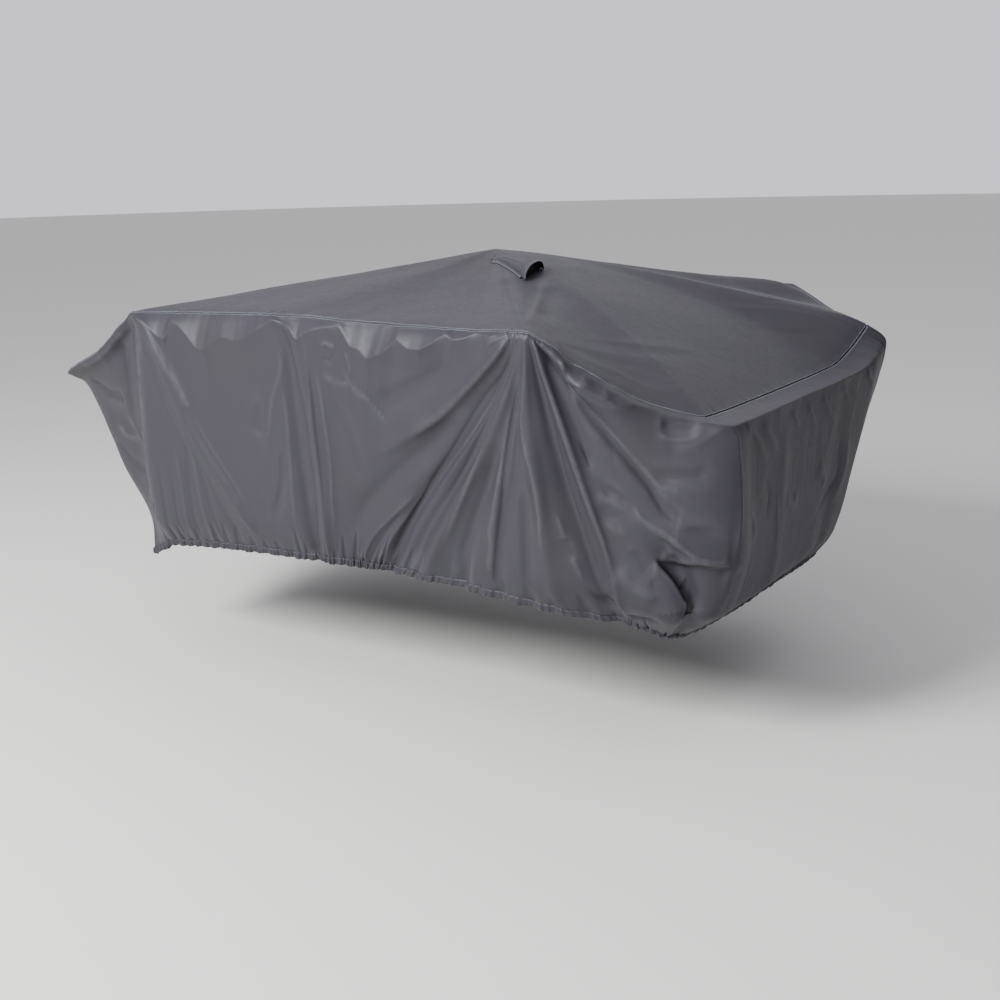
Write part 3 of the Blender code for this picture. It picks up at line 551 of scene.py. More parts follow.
        (((20.04, 0.08), (19.6, 0.26), (19.2, 0.5), (18.9, 0.8)), 0.01, -0.007, CRISP, 1.0, 0.25),
        (((22.0, 0.1), (22.1, 0.4), (22.05, 0.9)), 0.01, -0.007, CRISP, 1.0, 0.25),
        (((22.5, 0.16), (22.3, 0.44), (22.36, 0.7)), 0.008, 0.005, CRISP, 1.0, 0.25),
        (((23.9, 0.05), (23.5, 0.3), (23.2, 0.6), (23.0, 0.96)), 0.009, 0.008),
        (((23.96, 0.05), (23.8, 0.34), (23.62, 0.66), (23.5, 0.96)), 0.009, -0.009),
        (((24.02, 0.05), (24.1, 0.34), (24.2, 0.66), (24.3, 0.96)), 0.009, -0.008),
        (((23.8, 0.08), (23.0, 0.22), (22.5, 0.4)), 0.014, 0.006, LEDGE, 1.0, 0.25),
    ), (CRISP, 1.0, 0.15, 0.25)),
    *run((
        (((21.2, 0.12), (21.5, 0.28), (21.4, 0.46)), 0.01, 0.005),
    )),
    # left end
    *run((
        (((26.2, 0.14), (26.5, 0.4), (26.64, 0.72), (26.6, 0.96)), 0.01, -0.008),
        (((27.0, 0.18), (27.2, 0.4), (27.1, 0.7)), 0.012, 0.006),
        (((27.8, 0.14), (28.0, 0.36), (28.3, 0.6), (28.4, 0.94)), 0.01, -0.007),
        (((28.9, 0.16), (29.2, 0.44), (29.3, 0.9)), 0.009, 0.007),
        (((29.7, 0.1), (29.6, 0.34), (29.4, 0.62)), 0.012, -0.007),
    )),
)

# The bright edge of the front's upper facets: (section, metres below the seam).
FACET_EDGE = (
    (2.95, 0.006), (3.20, 0.027), (3.30, 0.046), (3.39, 0.067), (3.48, 0.076), (3.52, 0.036), (3.56, 0.021),
    (3.66, 0.038), (3.79, 0.073), (3.87, 0.099), (3.97, 0.103), (4.03, 0.084), (4.21, 0.063), (4.39, 0.074),
    (4.52, 0.067), (4.69, 0.043), (4.82, 0.023), (4.95, 0.014), (5.09, 0.032), (5.19, 0.068), (5.27, 0.054),
    (5.37, 0.044), (5.55, 0.027), (5.63, 0.009), (5.70, 0.047), (5.76, 0.069), (5.86, 0.070), (5.93, 0.086),
    (5.97, 0.091), (6.04, 0.079), (6.10, 0.078), (6.17, 0.064), (6.25, 0.035), (6.31, 0.053), (6.39, 0.074),
    (6.51, 0.082), (6.61, 0.064), (6.69, 0.041), (6.75, 0.014), (6.82, 0.048), (6.94, 0.036), (7.18, 0.008),
    (7.53, 0.020), (7.80, 0.008), (8.00, 0.006), (11.20, 0.008), (11.46, 0.020), (11.54, 0.085),
    (11.81, 0.070), (12.01, 0.062), (12.25, 0.064), (12.45, 0.050), (12.64, 0.036), (12.96, 0.014),
)


# ---------------------------------------------------------------- smooth curves and noise
def smooth_through(knots: Array, values: Array, places: Array) -> Array:
    """Monotone cubic through values at knots, read at places.

    Args:
        knots: rising numbers, one for each value.
        values: an array whose first axis follows the knots.
        places: where to read it.

    Returns:
        The values at the places, along the first axis.
    """
    steps = np.diff(knots).reshape((-1,) + (1,) * (values.ndim - 1))
    slopes = np.diff(values, axis=0) / steps
    before, after = slopes[:-1], slopes[1:]
    agree = before * after > 0
    middle = np.where(agree, 2.0 * before * after / np.where(agree, before + after, 1.0), 0.0)
    tangents = np.concatenate([slopes[:1], middle, slopes[-1:]])
    cell = np.clip(np.searchsorted(knots, places, side="right") - 1, 0, len(knots) - 2)
    share = (places - knots[cell]) / (knots[cell + 1] - knots[cell])
    share = share.reshape((-1,) + (1,) * (values.ndim - 1))
    leave, arrive = tangents[cell] * steps[cell], tangents[cell + 1] * steps[cell]
    return (
        values[cell] * (1 + 2 * share) * (1 - share) ** 2
        + leave * share * (1 - share) ** 2
        + values[cell + 1] * share**2 * (3 - 2 * share)
        + arrive * share**2 * (share - 1)
    )


def smooth_step(share: Array) -> Array:
    """A smooth rise from 0 to 1 as the share goes from 0 to 1."""
    share = np.clip(share, 0, 1)
    return share * share * (3 - 2 * share)


def bell(places: Array, middle: float, width: float) -> Array:
    """A rise to 1 at the middle, which dies away at about two widths on both sides."""
    return np.exp(-(((places - middle) / width) ** 2))


def unit(vectors: Array) -> Array:
    """The vectors at length 1."""
    return vectors / np.maximum(np.linalg.norm(vectors, axis=-1, keepdims=True), TINY)


def lengths_along(points: Array) -> Array:
    """How far down its line each point is, for a line of points or for a grid of such lines."""
    steps = np.linalg.norm(np.diff(points, axis=0), axis=-1)
    return np.concatenate([np.zeros((1, *steps.shape[1:])), np.cumsum(steps, axis=0)])


def read_between(places: Array, reach: Array, values: Array) -> Array:
    """Rows of values read at places between those that they belong to."""
    return np.stack([np.interp(places, reach, column) for column in values.T], -1)


def grid_normals(grid: Array) -> Array:
    """Outward unit normals of a (rows, columns, 3) grid that is closed along its rows.

    Args:
        grid: the points, rows from the top down.

    Returns:
        One normal for each point.
    """
    along = np.roll(grid, -1, axis=1) - np.roll(grid, 1, axis=1)
    faces = unit(np.cross(grid[1:] - grid[:-1], along[1:] + along[:-1]))
    return unit(np.concatenate([faces[:1], faces]) + np.concatenate([faces, faces[-1:]]))


class Unevenness:
    """Seeded lattice noise in three dimensions, from -1 to 1."""

    LATTICE = 32

    def __init__(self, seed: int) -> None:
        """Draws the lattice from a seed."""
        shape = (self.LATTICE,) * 3
        self.table = np.random.default_rng(seed).uniform(-1.0, 1.0, shape)

    def read(self, points: Array, size: float) -> Array:
        """Noise at points.

        Args:
            points: an array that ends in three coordinates.
            size: the lattice's spacing, in metres.

        Returns:
            One number for each point.
        """
        cells = points / size
        base = np.floor(cells).astype(int)
        share = smooth_step(cells - base)
        total = np.zeros(points.shape[:-1])
        for corner in np.ndindex(2, 2, 2):
            weight = np.prod(np.where(corner, share, 1 - share), axis=-1)
            index = (base + np.array(corner)) % self.LATTICE
            total += weight * self.table[index[..., 0], index[..., 1], index[..., 2]]
        return total


@dataclass(frozen=True)
class Gathers:
    """A row of gathers of uneven width.

    least, most: their widths. seed: the random generator's. whole: the row's length, over
    which they repeat.
    """

    least: float
    most: float
    seed: int
    whole: float

    def read(self, places: Array) -> tuple[Array, ...]:
        """Finds places in the row.

        Args:
            places: how far along the row, in metres.

        Returns:
            How far each place is from its gather's start and from its end, the gather's
            width, and a random number from 0 to 1 for its start and for its end.
        """
        random = np.random.default_rng(self.seed)
        widths = random.uniform(self.least, self.most, int(self.whole / self.least) + 1)
        edges = np.concatenate([[0.0], np.cumsum(widths)])
        last = np.searchsorted(edges, self.whole)
        edges = edges[: last + 1] * self.whole / edges[last]
        chances = random.uniform(0.0, 1.0, last + 1)
        along = places % self.whole
        cell = np.clip(np.searchsorted(edges, along, side="right") - 1, 0, last - 1)
        start, end = edges[cell], edges[cell + 1]
        return along - start, end - along, end - start, chances[cell], chances[(cell + 1) % last]


# ---------------------------------------------------------------- the cloth's surface
class Drape:
    """The cover's cloth as one surface, with its main folds, as its solids have it."""

    def __init__(self) -> None:
        """Reads the section table."""
        table = np.array([section.sizes() for section in SECTIONS], float)
        x, y, z, faces, shoulder, drop, belly, tuck, hem_x, hem_y, hem_z, lip, crown = table.T
        out = np.stack([np.cos(np.radians(faces)), np.sin(np.radians(faces)), 0 * faces], -1)
        up = np.array([0.0, 0.0, 1.0])
        seam = np.stack([x, y, z], -1)
        hem = np.stack([hem_x, hem_y, hem_z], -1)
        edge = seam + out * shoulder[:, None] - up * drop[:, None]
        middle = (edge + hem) / 2 + out * belly[:, None]
        low = middle + (hem - middle) * TUCK_SHARE + out * tuck[:, None]
        self.peak = np.array([PEAK_X, PEAK_Y, HOLD_HEIGHT + SOLID_THICKNESS])
        near = seam + (self.peak - seam) * abs(LIP_LEVEL) + up * lip[:, None]
        self.crest = (seam + self.peak) / 2 + up * crown[:, None]
        self.levels = np.array([LIP_LEVEL, 0.0, SHOULDER_LEVEL, BELLY_LEVEL, TUCK_LEVEL, 1.0])
        self.knots = np.stack([near, seam, edge, middle, low, hem])
        spread = self.knots[[1, 3, 5]]
        steps = np.linalg.norm(np.roll(spread, -1, axis=1) - spread, axis=2).mean(axis=0)
        self.starts = np.concatenate([[0.0], np.cumsum(steps)[:-1]])
        self.whole = float(steps.sum())
        self.bounds = np.append(self.starts, self.whole)

    def round_the_cover(self, values: Array, places: Array, ends: int = 3) -> Array:
        """A value of each section, read smoothly at places round the cover.

        Args:
            values: one row for each section.
            places: metres round the cover.
            ends: how many sections overlap where the cover closes.

        Returns:
            The values at the places.
        """
        before, after = self.starts[-ends:] - self.whole, self.starts[:ends] + self.whole
        knots = np.concatenate([before, self.starts, after])
        values = np.concatenate([values[-ends:], values, values[:ends]])
        return smooth_through(knots, values, places % self.whole)

    def place_of(self, counted: Array) -> Array:
        """Metres round the cover of places counted in sections."""
        return np.interp(counted, np.arange(len(self.bounds)), self.bounds)

    def count_of(self, places: Array) -> Array:
        """Sections of places in metres round the cover."""
        return np.interp(places, self.bounds, np.arange(len(self.bounds)))

    def path(self, seam: Array, foot: Array, sweep: float, level: float) -> Array:
        """Where paths that leave the seam and reach the hem at these sections are, at a level."""
        return self.place_of(foot + (seam - foot) * (1 - min(max(level, 0.0), 1.0)) ** sweep)

    def base_row(self, places: Array, level: float) -> Array:
        """The cloth without folds at one level, with z from the ground."""
        columns = np.stack([self.round_the_cover(row, places) for row in self.knots])
        if level >= 0:
            return smooth_through(self.levels, columns, np.array([level]))[0]
        near, seam = columns[0], columns[1]
        share = -level
        reach = share / abs(LIP_LEVEL)
        lip = near - (seam + (self.peak - seam) * abs(LIP_LEVEL))
        rise = self.round_the_cover(self.crest, places) - (seam + self.peak) / 2
        over = lip * reach * math.exp(1 - reach) + rise * 4 * share * (1 - share)
        return seam + (self.peak - seam) * share + over

    def fold_row(self, places: Array, level: float, row: Array) -> Array:
        """How far the main folds push the cloth out at one level.

        Args:
            places: metres round the cover.
            level: the row's level.
            row: the row's points, whose crowding makes the folds smaller.

        Returns:
            Metres outwards.
        """
        total = np.zeros(len(places))
        for fold in FOLDS:
            crest = self.path(fold.seam, fold.foot, fold.sweep, level)
            apart = (places - crest + self.whole / 2) % self.whole - self.whole / 2
            across = (1 + (apart / fold.width) ** 2) ** -FOLD_EDGE
            begin = smooth_step((level - fold.start) / FOLD_FADE + 1)
            finish = smooth_step((fold.end - level) / FOLD_FADE + 1)
            total += fold.out * across * begin * finish
        ahead = np.linalg.norm(np.roll(row, -1, axis=0) - row, axis=1)
        room = np.append(places[1:], places[0] + self.whole) - places
        return total * np.clip(ahead / np.maximum(room, TINY), 0.0, 1.0)

    def surface(self, seams: Array, feet: Array, levels: Array) -> tuple[Array, ...]:
        """The outside of the cloth, where columns cross the levels.

        Args:
            seams, feet: the columns' sections at the seam and at the hem.
            levels: the rows' levels.

        Returns:
            The points (rows, columns, 3) in the model's frame, and the places (rows, columns).
        """
        places = np.stack([self.path(seams, feet, COLUMN_SWEEP, level) for level in levels])
        grid = np.stack([self.base_row(row, level) for row, level in zip(places, levels)])
        rows = zip(places, levels, grid)
        heights = np.stack([self.fold_row(row, level, points) for row, level, points in rows])
        grid = grid + grid_normals(grid) * heights[..., None]
        return grid - np.array([PEAK_X, PEAK_Y, HOLD_HEIGHT]), places


@dataclass(frozen=True)
class Pleats:
    """Dips that rise from the gathered hem and die away upwards, with swells between them.

    least, most: how far apart they are. seed: the random generator's. share: of the full
    height. short, long: the least reach, and what the longest have more. few_long: how few
    of them are long. tip, foot: a dip's half width at its end and what it has more at the
    hem, as shares of the gather. flatness: of its bottom. swell, swell_width: the
    height and the width of the swells, as shares.
    """

    least: float
    most: float
    seed: int
    share: float
    height: float = 0.0070
    short: float = 0.028
    long: float = 0.095
    few_long: float = 1.6
    tip: float = 0.05
    foot: float = 0.25
    flatness: float = 1.6
    swell: float = 0.35
    swell_width: float = 0.3

    def heights(self, feet: Array, above: Array, whole: float) -> Array:
        """How far out, from where the columns meet the hem, metres above it, and its length."""
        gathers = Gathers(self.least, self.most, self.seed, whole)
        before, after, width, chance, next_chance = gathers.read(feet)
        off = np.minimum(before, after)
        chance = np.where(before < after, chance, next_chance)
        reach = (self.short + self.long * chance**self.few_long) * (0.3 + 0.7 * self.share)
        left = np.clip(1 - above / reach, 0, 1)
        half = width * (self.tip + self.foot * left)
        dip = np.exp(-((off / half) ** self.flatness)) * np.sqrt(left)
        swell = (1 - np.exp(-off / (self.swell_width * width))) * left
        return self.height * self.share * (0.5 + 0.5 * chance) * (self.swell * swell - dip)


@dataclass(frozen=True)
class Puckers:
    """Small puckers on both sides of the seam round the top.

    height, reach: how high they are and how far from the seam. bare: the flat strip beside
    it. swing, swing_size: how much their reach varies, and over what length. coarse, fine:
    the share and the size of two noises. far_corner, slope: the two sections round which
    they are stronger, how far to each side, and how much. longer: how much longer the
    puckers of the far corner are.
    """

    height: float = 0.0016
    reach: float = 0.024
    bare: float = 0.004
    swing: float = 0.8
    swing_size: float = 0.090
    coarse: Pair = (0.8, 0.021)
    fine: Pair = (0.5, 0.0105)
    far_corner: tuple[float, float, float] = (18.1, 0.8, 2.6)
    slope: tuple[float, float, float] = (12.0, 0.7, 1.6)
    longer: float = 0.8

    def heights(self, places: Array, counts: Array, below: Array) -> Array:
        """How far out, from metres and sections round the cover, and metres below the seam."""
        noise = Unevenness(SEED + 2)
        flat = np.stack([places, 0 * places, 0 * places], -1)
        corner = bell(counts, *self.far_corner[:2])
        slope = bell(counts, *self.slope[:2])
        strength = self.height * (1 + self.far_corner[2] * corner + self.slope[2] * slope)
        away = np.abs(below)
        reach = self.reach * (1 + self.swing * noise.read(flat, self.swing_size))
        reach = reach * (1 + self.longer * corner)
        fade = np.exp(-away / reach) * np.clip(away / self.bare, 0, 1)
        coarse, fine = (share * noise.read(flat, size) for share, size in (self.coarse, self.fine))
        return strength * (coarse + fine) * fade


@dataclass(frozen=True)
class Wrinkles:
    """The cloth's own unevenness: soft swells, dents and crumples.

    swells, dents, crumples: the height and the size of each. rounded, sharp: the shares of
    round dents and of sharp ridges. ridge_size: a ridge's size, as a share of a dent's.
    patches, contrast: the size of the crumpled patches, and how clearly they end. upright,
    upright_fine: how much shorter the noise is upwards. on_top: how strong all of it is on
    the top. seam_calm, peak_calm: how far from the seam and the peak it has its strength.
    """

    swells: Pair = (0.0050, 0.24)
    dents: Pair = (0.0030, 0.085)
    crumples: Pair = (0.0011, 0.036)
    rounded: float = 0.55
    sharp: float = 0.6
    ridge_size: float = 0.8
    patches: float = 0.30
    contrast: float = 0.9
    upright: float = 0.6
    upright_fine: float = 0.7
    on_top: float = 0.55
    seam_calm: float = 0.03
    peak_calm: float = 0.15

    def heights(self, plain: Array, below: Array) -> Array:
        """How far out, from the cloth's points and metres below the seam."""
        noise = Unevenness(SEED + 3)
        coarse = plain * np.array([1.0, 1.0, self.upright])
        close = plain * np.array([1.0, 1.0, self.upright_fine])
        from_peak = np.linalg.norm(plain, axis=-1)
        calm = np.clip(np.abs(below) / self.seam_calm, 0, 1) * np.clip(from_peak / self.peak_calm, 0, 1)
        swell = self.swells[0] * noise.read(coarse, self.swells[1])
        dent = noise.read(coarse + 3.1, self.dents[1])
        ridge = 0.5 - np.abs(noise.read(coarse + 7.7, self.dents[1] * self.ridge_size))
        fine = 0.5 - np.abs(noise.read(close + 5.3, self.crumples[1]))
        where = smooth_step(0.5 + self.contrast * noise.read(plain + 11.0, self.patches))
        small = self.dents[0] * (self.rounded * dent + self.sharp * ridge * where)
        small = small + self.crumples[0] * fine * where
        return (swell + small) * calm * np.where(below < 0, self.on_top, 1.0)


@dataclass(frozen=True)
class Facets:
    """The bright facets under the front's seam: the cloth is drawn in above an uneven edge.

    draw, reach: how far the seam can be drawn in above a facet, and how deep a facet is that
    is drawn in two thirds of that. out, deep: the same of how far its lower edge stands out.
    fall: metres over which the cloth above and below follows. blur: how far to each side
    the edge's unevenness spreads below it. blend: metres over which it does. step: of the
    line on which the edge is worked out. least: the depth where there is no facet.
    """

    draw: float = 0.016
    reach: float = 0.045
    out: float = 0.033
    deep: float = 0.10
    fall: float = 0.12
    blur: float = 0.09
    blend: float = 0.016
    step: float = 0.002
    least: float = 0.002

    def heights(self, drape: Drape, places: Array, below: Array) -> Array:
        """How far out, on a drape, from metres round the cover and metres below the seam."""
        counts, depths = np.array(FACET_EDGE).T
        line = np.arange(0.0, drape.whole, self.step)
        edges = np.interp(line, drape.place_of(counts), depths, left=self.least, right=self.least)
        stands = self.out * (1 - np.exp(-edges / self.deep))
        spread = np.hanning(2 * int(self.blur / self.step) + 1)
        evened = np.convolve(stands, spread / spread.sum(), mode="same")
        edge, stand, even = (np.interp(places, line, values) for values in (edges, stands, evened))
        drawn_in = self.draw * (1 - np.exp(-edge / self.reach))
        share = np.clip(below / edge, 0, 1)
        past = np.maximum(below - edge, 0)
        lower = (even + (stand - even) * np.exp(-past / self.blend)) * np.exp(-past / self.fall)
        over = np.where(past > 0, lower, stand * share)
        return over - drawn_in * np.where(below >= 0, 1 - share, np.exp(below / self.fall))


@dataclass(frozen=True)
class SeamRelief:
    """The sewn seam: a groove between two ridges, where the allowances lie under the cloth.

    groove: how high it is, less than 0, and how wide. ridge: how high, how wide, and how far
    from the seam.
    """

    groove: Pair = (-0.0011, 0.0020)
    ridge: tuple[float, float, float] = (0.0010, 0.0032, 0.0055)

    def heights(self, below: Array) -> Array:
        """How far out, from metres below the seam."""
        away = np.abs(below)
        groove = self.groove[0] * bell(away, 0.0, self.groove[1])
        return groove + self.ridge[0] * bell(away, self.ridge[2], self.ridge[1])


def cut_through(profile: Profile, nearest: Array, side: Array, width: Array) -> Array:
    """The cut through a crease, about 1 at its line.

    Args:
        profile: its form.
        nearest: metres from the line.
        side: 1 on the left of the line and -1 on its right.
        width: the crease's half width.

    Returns:
        One height for each point.
    """
    apart = nearest / width
    if profile is SOFT:
        return (1 + apart**2) ** -SOFT_EDGE
    if profile is CRISP:
        return np.exp(CRISP_TIP - np.sqrt(apart**2 + CRISP_TIP**2))
    if profile is STEP:
        return -side * np.tanh(nearest / STEP_EDGE) * np.exp(-STEP_FALL * apart)
    apart = np.where(side > 0, apart * LEDGE_EASY, apart * LEDGE_STEEP)
    return np.exp(LEDGE_TIP - np.sqrt(apart**2 + LEDGE_TIP**2))


def crease_height(crease: Crease, line: Array, points: Array, normals: Array) -> Array:
    """One crease's height at points.

    Args:
        crease: the crease.
        line: its line's points.
        points, normals: where to work it out.

    Returns:
        Metres outwards at each point.
    """
    reached = lengths_along(line)
    lengths = np.linalg.norm(np.diff(line, axis=0), axis=1)
    nearest = np.full(len(points), np.inf)
    along = np.zeros(len(points))
    side = np.ones(len(points))
    for start, end, length, so_far in zip(line[:-1], line[1:], lengths, reached):
        way = (end - start) / length
        step = np.clip((points - start) @ way, 0, length)
        off = points - start - step[:, None] * way
        far = np.linalg.norm(off, axis=1)
        closer = far < nearest
        nearest = np.where(closer, far, nearest)
        along = np.where(closer, (so_far + step) / reached[-1], along)
        side = np.where(closer, np.sign((off * np.cross(way, normals)).sum(-1)), side)
    width = crease.width * (1 + (crease.taper - 1) * along)
    ends = smooth_step(along / crease.fade_in) * smooth_step((1 - along) / crease.fade_out)
    return crease.out * cut_through(crease.profile, nearest, side, width) * ends


@dataclass
class Cloth:
    """The whole cover's cloth on one fine grid, with its relief.

    spacing: between columns. pleats, puckers, wrinkles, facets, seam: the relief's parts.
    """

    drape: Drape
    spacing: float = COLUMN_SPACING
    pleats: tuple[Pleats, ...] = (Pleats(0.022, 0.058, SEED, 1.0), Pleats(0.009, 0.017, SEED + 1, 0.30))
    puckers: Puckers = Puckers()
    wrinkles: Wrinkles = Wrinkles()
    facets: Facets = Facets()
    seam: SeamRelief = SeamRelief()
    seams: Array = field(init=False)
    feet: Array = field(init=False)
    levels: Array = field(init=False)
    spans: dict[Side, tuple[int, int]] = field(init=False)
    outside: Array = field(init=False)
    inside: Array = field(init=False)
    places: Array = field(init=False)
    wear: Array = field(init=False)
    seam_row: int = field(init=False)

    def __post_init__(self) -> None:
        """Lays the grid, then works the surface out layer by layer."""
        self.lay_columns()
        self.lay_rows()
        plain, self.places = self.drape.surface(self.seams, self.feet, self.levels)
        normals = grid_normals(plain)
        reached = lengths_along(plain)
        below = reached - reached[self.seam_row]
        above = reached[-1] - reached
        feet, whole = self.drape.place_of(self.feet), self.drape.whole
        creased = self.creases(plain, normals)
        creased = creased + sum(pleats.heights(feet, above, whole) for pleats in self.pleats)
        heights = creased + self.puckers.heights(self.places, self.drape.count_of(self.places), below)
        heights = heights + self.seam.heights(below) + self.wrinkles.heights(plain, below)
        level_out = unit(normals * np.array([1.0, 1.0, 0.0]))
        drawn = self.facets.heights(self.drape, self.places, below)
        self.outside = plain + normals * heights[..., None] + level_out * drawn[..., None]
        self.inside = self.outside - grid_normals(self.outside) * CLOTH_THICKNESS
        self.wear = self.wear_of(creased)

    def lay_columns(self) -> None:
        """Spaces the columns over the stretches, so that the top's rings can thin out evenly."""
        seams, feet, self.spans = [], [], {}
        ends = STRETCHES[1:] + (Stretch(Side.FRONT, len(SECTIONS), len(SECTIONS)),)
        for stretch, following in zip(STRETCHES, ends):
            reach = [self.drape.place_of(following.seam) - self.drape.place_of(stretch.seam),
                     self.drape.place_of(following.foot) - self.drape.place_of(stretch.foot)]
            columns = math.ceil(max(reach) / self.spacing)
            if following.seam == len(SECTIONS):
                columns += -(len(seams) + columns) % COLUMNS_DIVIDE_BY
            start = self.spans.get(stretch.side, (len(seams),))[0]
            seams += list(np.linspace(stretch.seam, following.seam, columns, endpoint=False))
            feet += list(np.linspace(stretch.foot, following.foot, columns, endpoint=False))
            self.spans[stretch.side] = (start, len(seams))
        self.seams, self.feet = np.array(seams), np.array(feet)

    def lay_rows(self) -> None:
        """Spaces the rows from the top's peak down to the hem."""
        top, skirt = (
            [level for start, end, count, *_ in rows
             for level in np.linspace(start, end, count, endpoint=False)]
            for rows in (TOP_ROWS, SKIRT_ROWS)
        )
        top = top[1:] + [TOP_ROWS[-1][1]]
        self.levels = np.array(top[::-1] + skirt + [1.0])
        self.seam_row = len(top)

    def line_on_cloth(self, crease: Crease) -> Array:
        """A crease's line as points on the cloth."""
        corners = np.array(crease.line, float)
        knots = np.arange(len(corners), dtype=float)
        counted, levels = smooth_through(knots, corners, np.linspace(0, knots[-1], LINE_POINTS)).T
        points = []
        for count, level in zip(counted, levels):
            near = np.sort(np.array([count - LINE_ASIDE, count, count + LINE_ASIDE]) % len(SECTIONS))
            patch, _ = self.drape.surface(near, near, np.array([level, level + LINE_DOWN]))
            points.append(patch[0, 1])
        return np.array(points)

    def creases(self, plain: Array, normals: Array) -> Array:
        """How far the listed creases push the cloth out.

        Args:
            plain: the cloth with its main folds.
            normals: the same cloth's normals.

        Returns:
            Metres outwards at each point of the grid.
        """
        total = np.zeros(plain.shape[:2])
        for crease in CREASES:
            line = self.line_on_cloth(crease)
            margin = crease.width * max(1.0, crease.taper) * CREASE_REACH
            near = np.all((plain > line.min(0) - margin) & (plain < line.max(0) + margin), axis=-1)
            total[near] += crease_height(crease, line, plain[near], normals[near])
        return total

    @staticmethod
    def wear_of(heights: Array) -> Array:
        """How much a point stands over its neighbours, from -1 to 1, which polishes or soils the cloth."""
        blurred = heights.copy()
        for _ in range(WEAR_ROUNDS):
            blurred = (np.roll(blurred, 1, axis=1) + blurred + np.roll(blurred, -1, axis=1)) / 3
            blurred[1:-1] = (blurred[:-2] + blurred[1:-1] + blurred[2:]) / 3
        return np.clip((heights - blurred) / WEAR_FULL, -1, 1)

    def at(self, row: float, column: float) -> tuple[Array, Array]:
        """The outside and its normal between the grid's points.

        Args:
            row: a place along the rows, such as 3.5.
            column: a place along the columns, which go round.

        Returns:
            The point and the unit normal.
        """
        columns = self.outside.shape[1]
        first, left = min(int(row), len(self.levels) - 2), int(column)
        down, aside = row - first, column - left
        cell = self.outside[first:first + 2][:, [left % columns, (left + 1) % columns]]
        point = (cell[0, 0] * (1 - aside) + cell[0, 1] * aside) * (1 - down)
        point = point + (cell[1, 0] * (1 - aside) + cell[1, 1] * aside) * down
        across = cell[:, 1] - cell[:, 0]
        fall = cell[1] - cell[0]
        return point, unit(np.cross(fall.sum(0), across.sum(0)))


# ---------------------------------------------------------------- meshes
def deselect_all() -> None:
    """Leaves nothing selected or active."""
    for thing in bpy.context.scene.objects:
        thing.select_set(False)
    bpy.context.view_layer.objects.active = None


def mesh_object(name: str, points: Array, faces: list[Face]) -> Object:
    """A new smooth object from points and faces.

    Args:
        name: the piece's name.
        points: its vertices.
        faces: its faces, outwards.

    Returns:
        The object, in the scene.
    """
    mesh = bpy.data.meshes.new(name)
    mesh.from_pydata(np.asarray(points, float).tolist(), [], faces)
    mesh.shade_smooth()
    made = bpy.data.objects.new(name, mesh)
    bpy.context.scene.collection.objects.link(made)
    return made


def set_uv(made: Object, flat: Array) -> None:
    """Gives each vertex a place on the flat cloth, in metres, as the piece's UV map."""
    layer = made.data.uv_layers.new(name="flat_cloth")
    corners = np.zeros(len(made.data.loops), np.int32)
    made.data.loops.foreach_get("vertex_index", corners)
    layer.data.foreach_set("uv", np.asarray(flat, np.float32)[corners].ravel())


def set_wear(made: Object, wear: Array) -> None:
    """Stores how worn each vertex is."""
    attribute = made.data.attributes.new(WEAR_NAME, "FLOAT", "POINT")
    attribute.data.foreach_set("value", np.asarray(wear, np.float32))


def grid_faces(index: Array) -> list[Face]:
    """Faces between a grid of point numbers, outwards where it runs down and to the right."""
    a, b, c, d = index[:-1, :-1], index[:-1, 1:], index[1:, 1:], index[1:, :-1]
    return [*map(tuple, np.stack([a, d, c, b], -1).reshape(-1, 4).tolist())]


def rim_of(index: Array) -> list[int]:
    """The point numbers round a grid's rim."""
    rim = [*index[0], *index[1:, -1], *index[-1, -2::-1], *index[-2:0:-1, 0]]
    return [int(point) for point in rim]


def thinned(count: int) -> Array:
    """Every second place of so many, with the last."""
    return np.unique(np.append(np.arange(0, count, 2), count - 1))


def closed_sheet(outer: Array, inner: Array) -> tuple[Array, list[Face], Array]:
    """A closed sheet between two grids of points, of which the inner one is thinned.

    Args:
        outer, inner: (rows, columns, 3) grids of the same size.

    Returns:
        The points, the faces, and for each point its number in the full grid.
    """
    rows, columns = outer.shape[:2]
    full = np.arange(rows * columns).reshape(rows, columns)
    kept = full[np.ix_(thinned(rows), thinned(columns))]
    back = rows * columns + np.arange(kept.size).reshape(kept.shape)
    faces = grid_faces(full) + [face[::-1] for face in grid_faces(back)]
    rim = rim_of(full)
    spots = {point: spot for spot, point in enumerate(rim)}
    around = rim_of(kept)
    behind = rim_of(back)
    for step, start in enumerate(around):
        end = around[(step + 1) % len(around)]
        run = rim[spots[start]:(spots[end] or len(rim)) + 1]
        run = run if spots[end] else run + [rim[0]]
        faces.append((*run, behind[(step + 1) % len(around)], behind[step]))
    points = np.concatenate([outer.reshape(-1, 3), inner.reshape(-1, 3)[kept.ravel()]])
    return points, faces, np.concatenate([full.ravel(), kept.ravel()])


def ring_faces(first: int, outer: int, second: int, inner: int) -> list[Face]:
    """Faces from a ring of points to a ring inside it, of which there are as many or half.

    Args:
        first, outer: the outer ring's first point and number of points.
        second, inner: the inner ring's.

    Returns:
        The faces, upwards where the rings run anticlockwise.
    """
    faces = []
    for step in range(inner):
        here, there = second + step, second + (step + 1) % inner
        if outer == inner:
            faces.append((first + step, first + (step + 1) % outer, there, here))
        else:
            a, b, c = first + 2 * step, first + 2 * step + 1, first + (2 * step + 2) % outer
            faces += [(a, b, here), (b, there, here), (b, c, there)]
    return faces


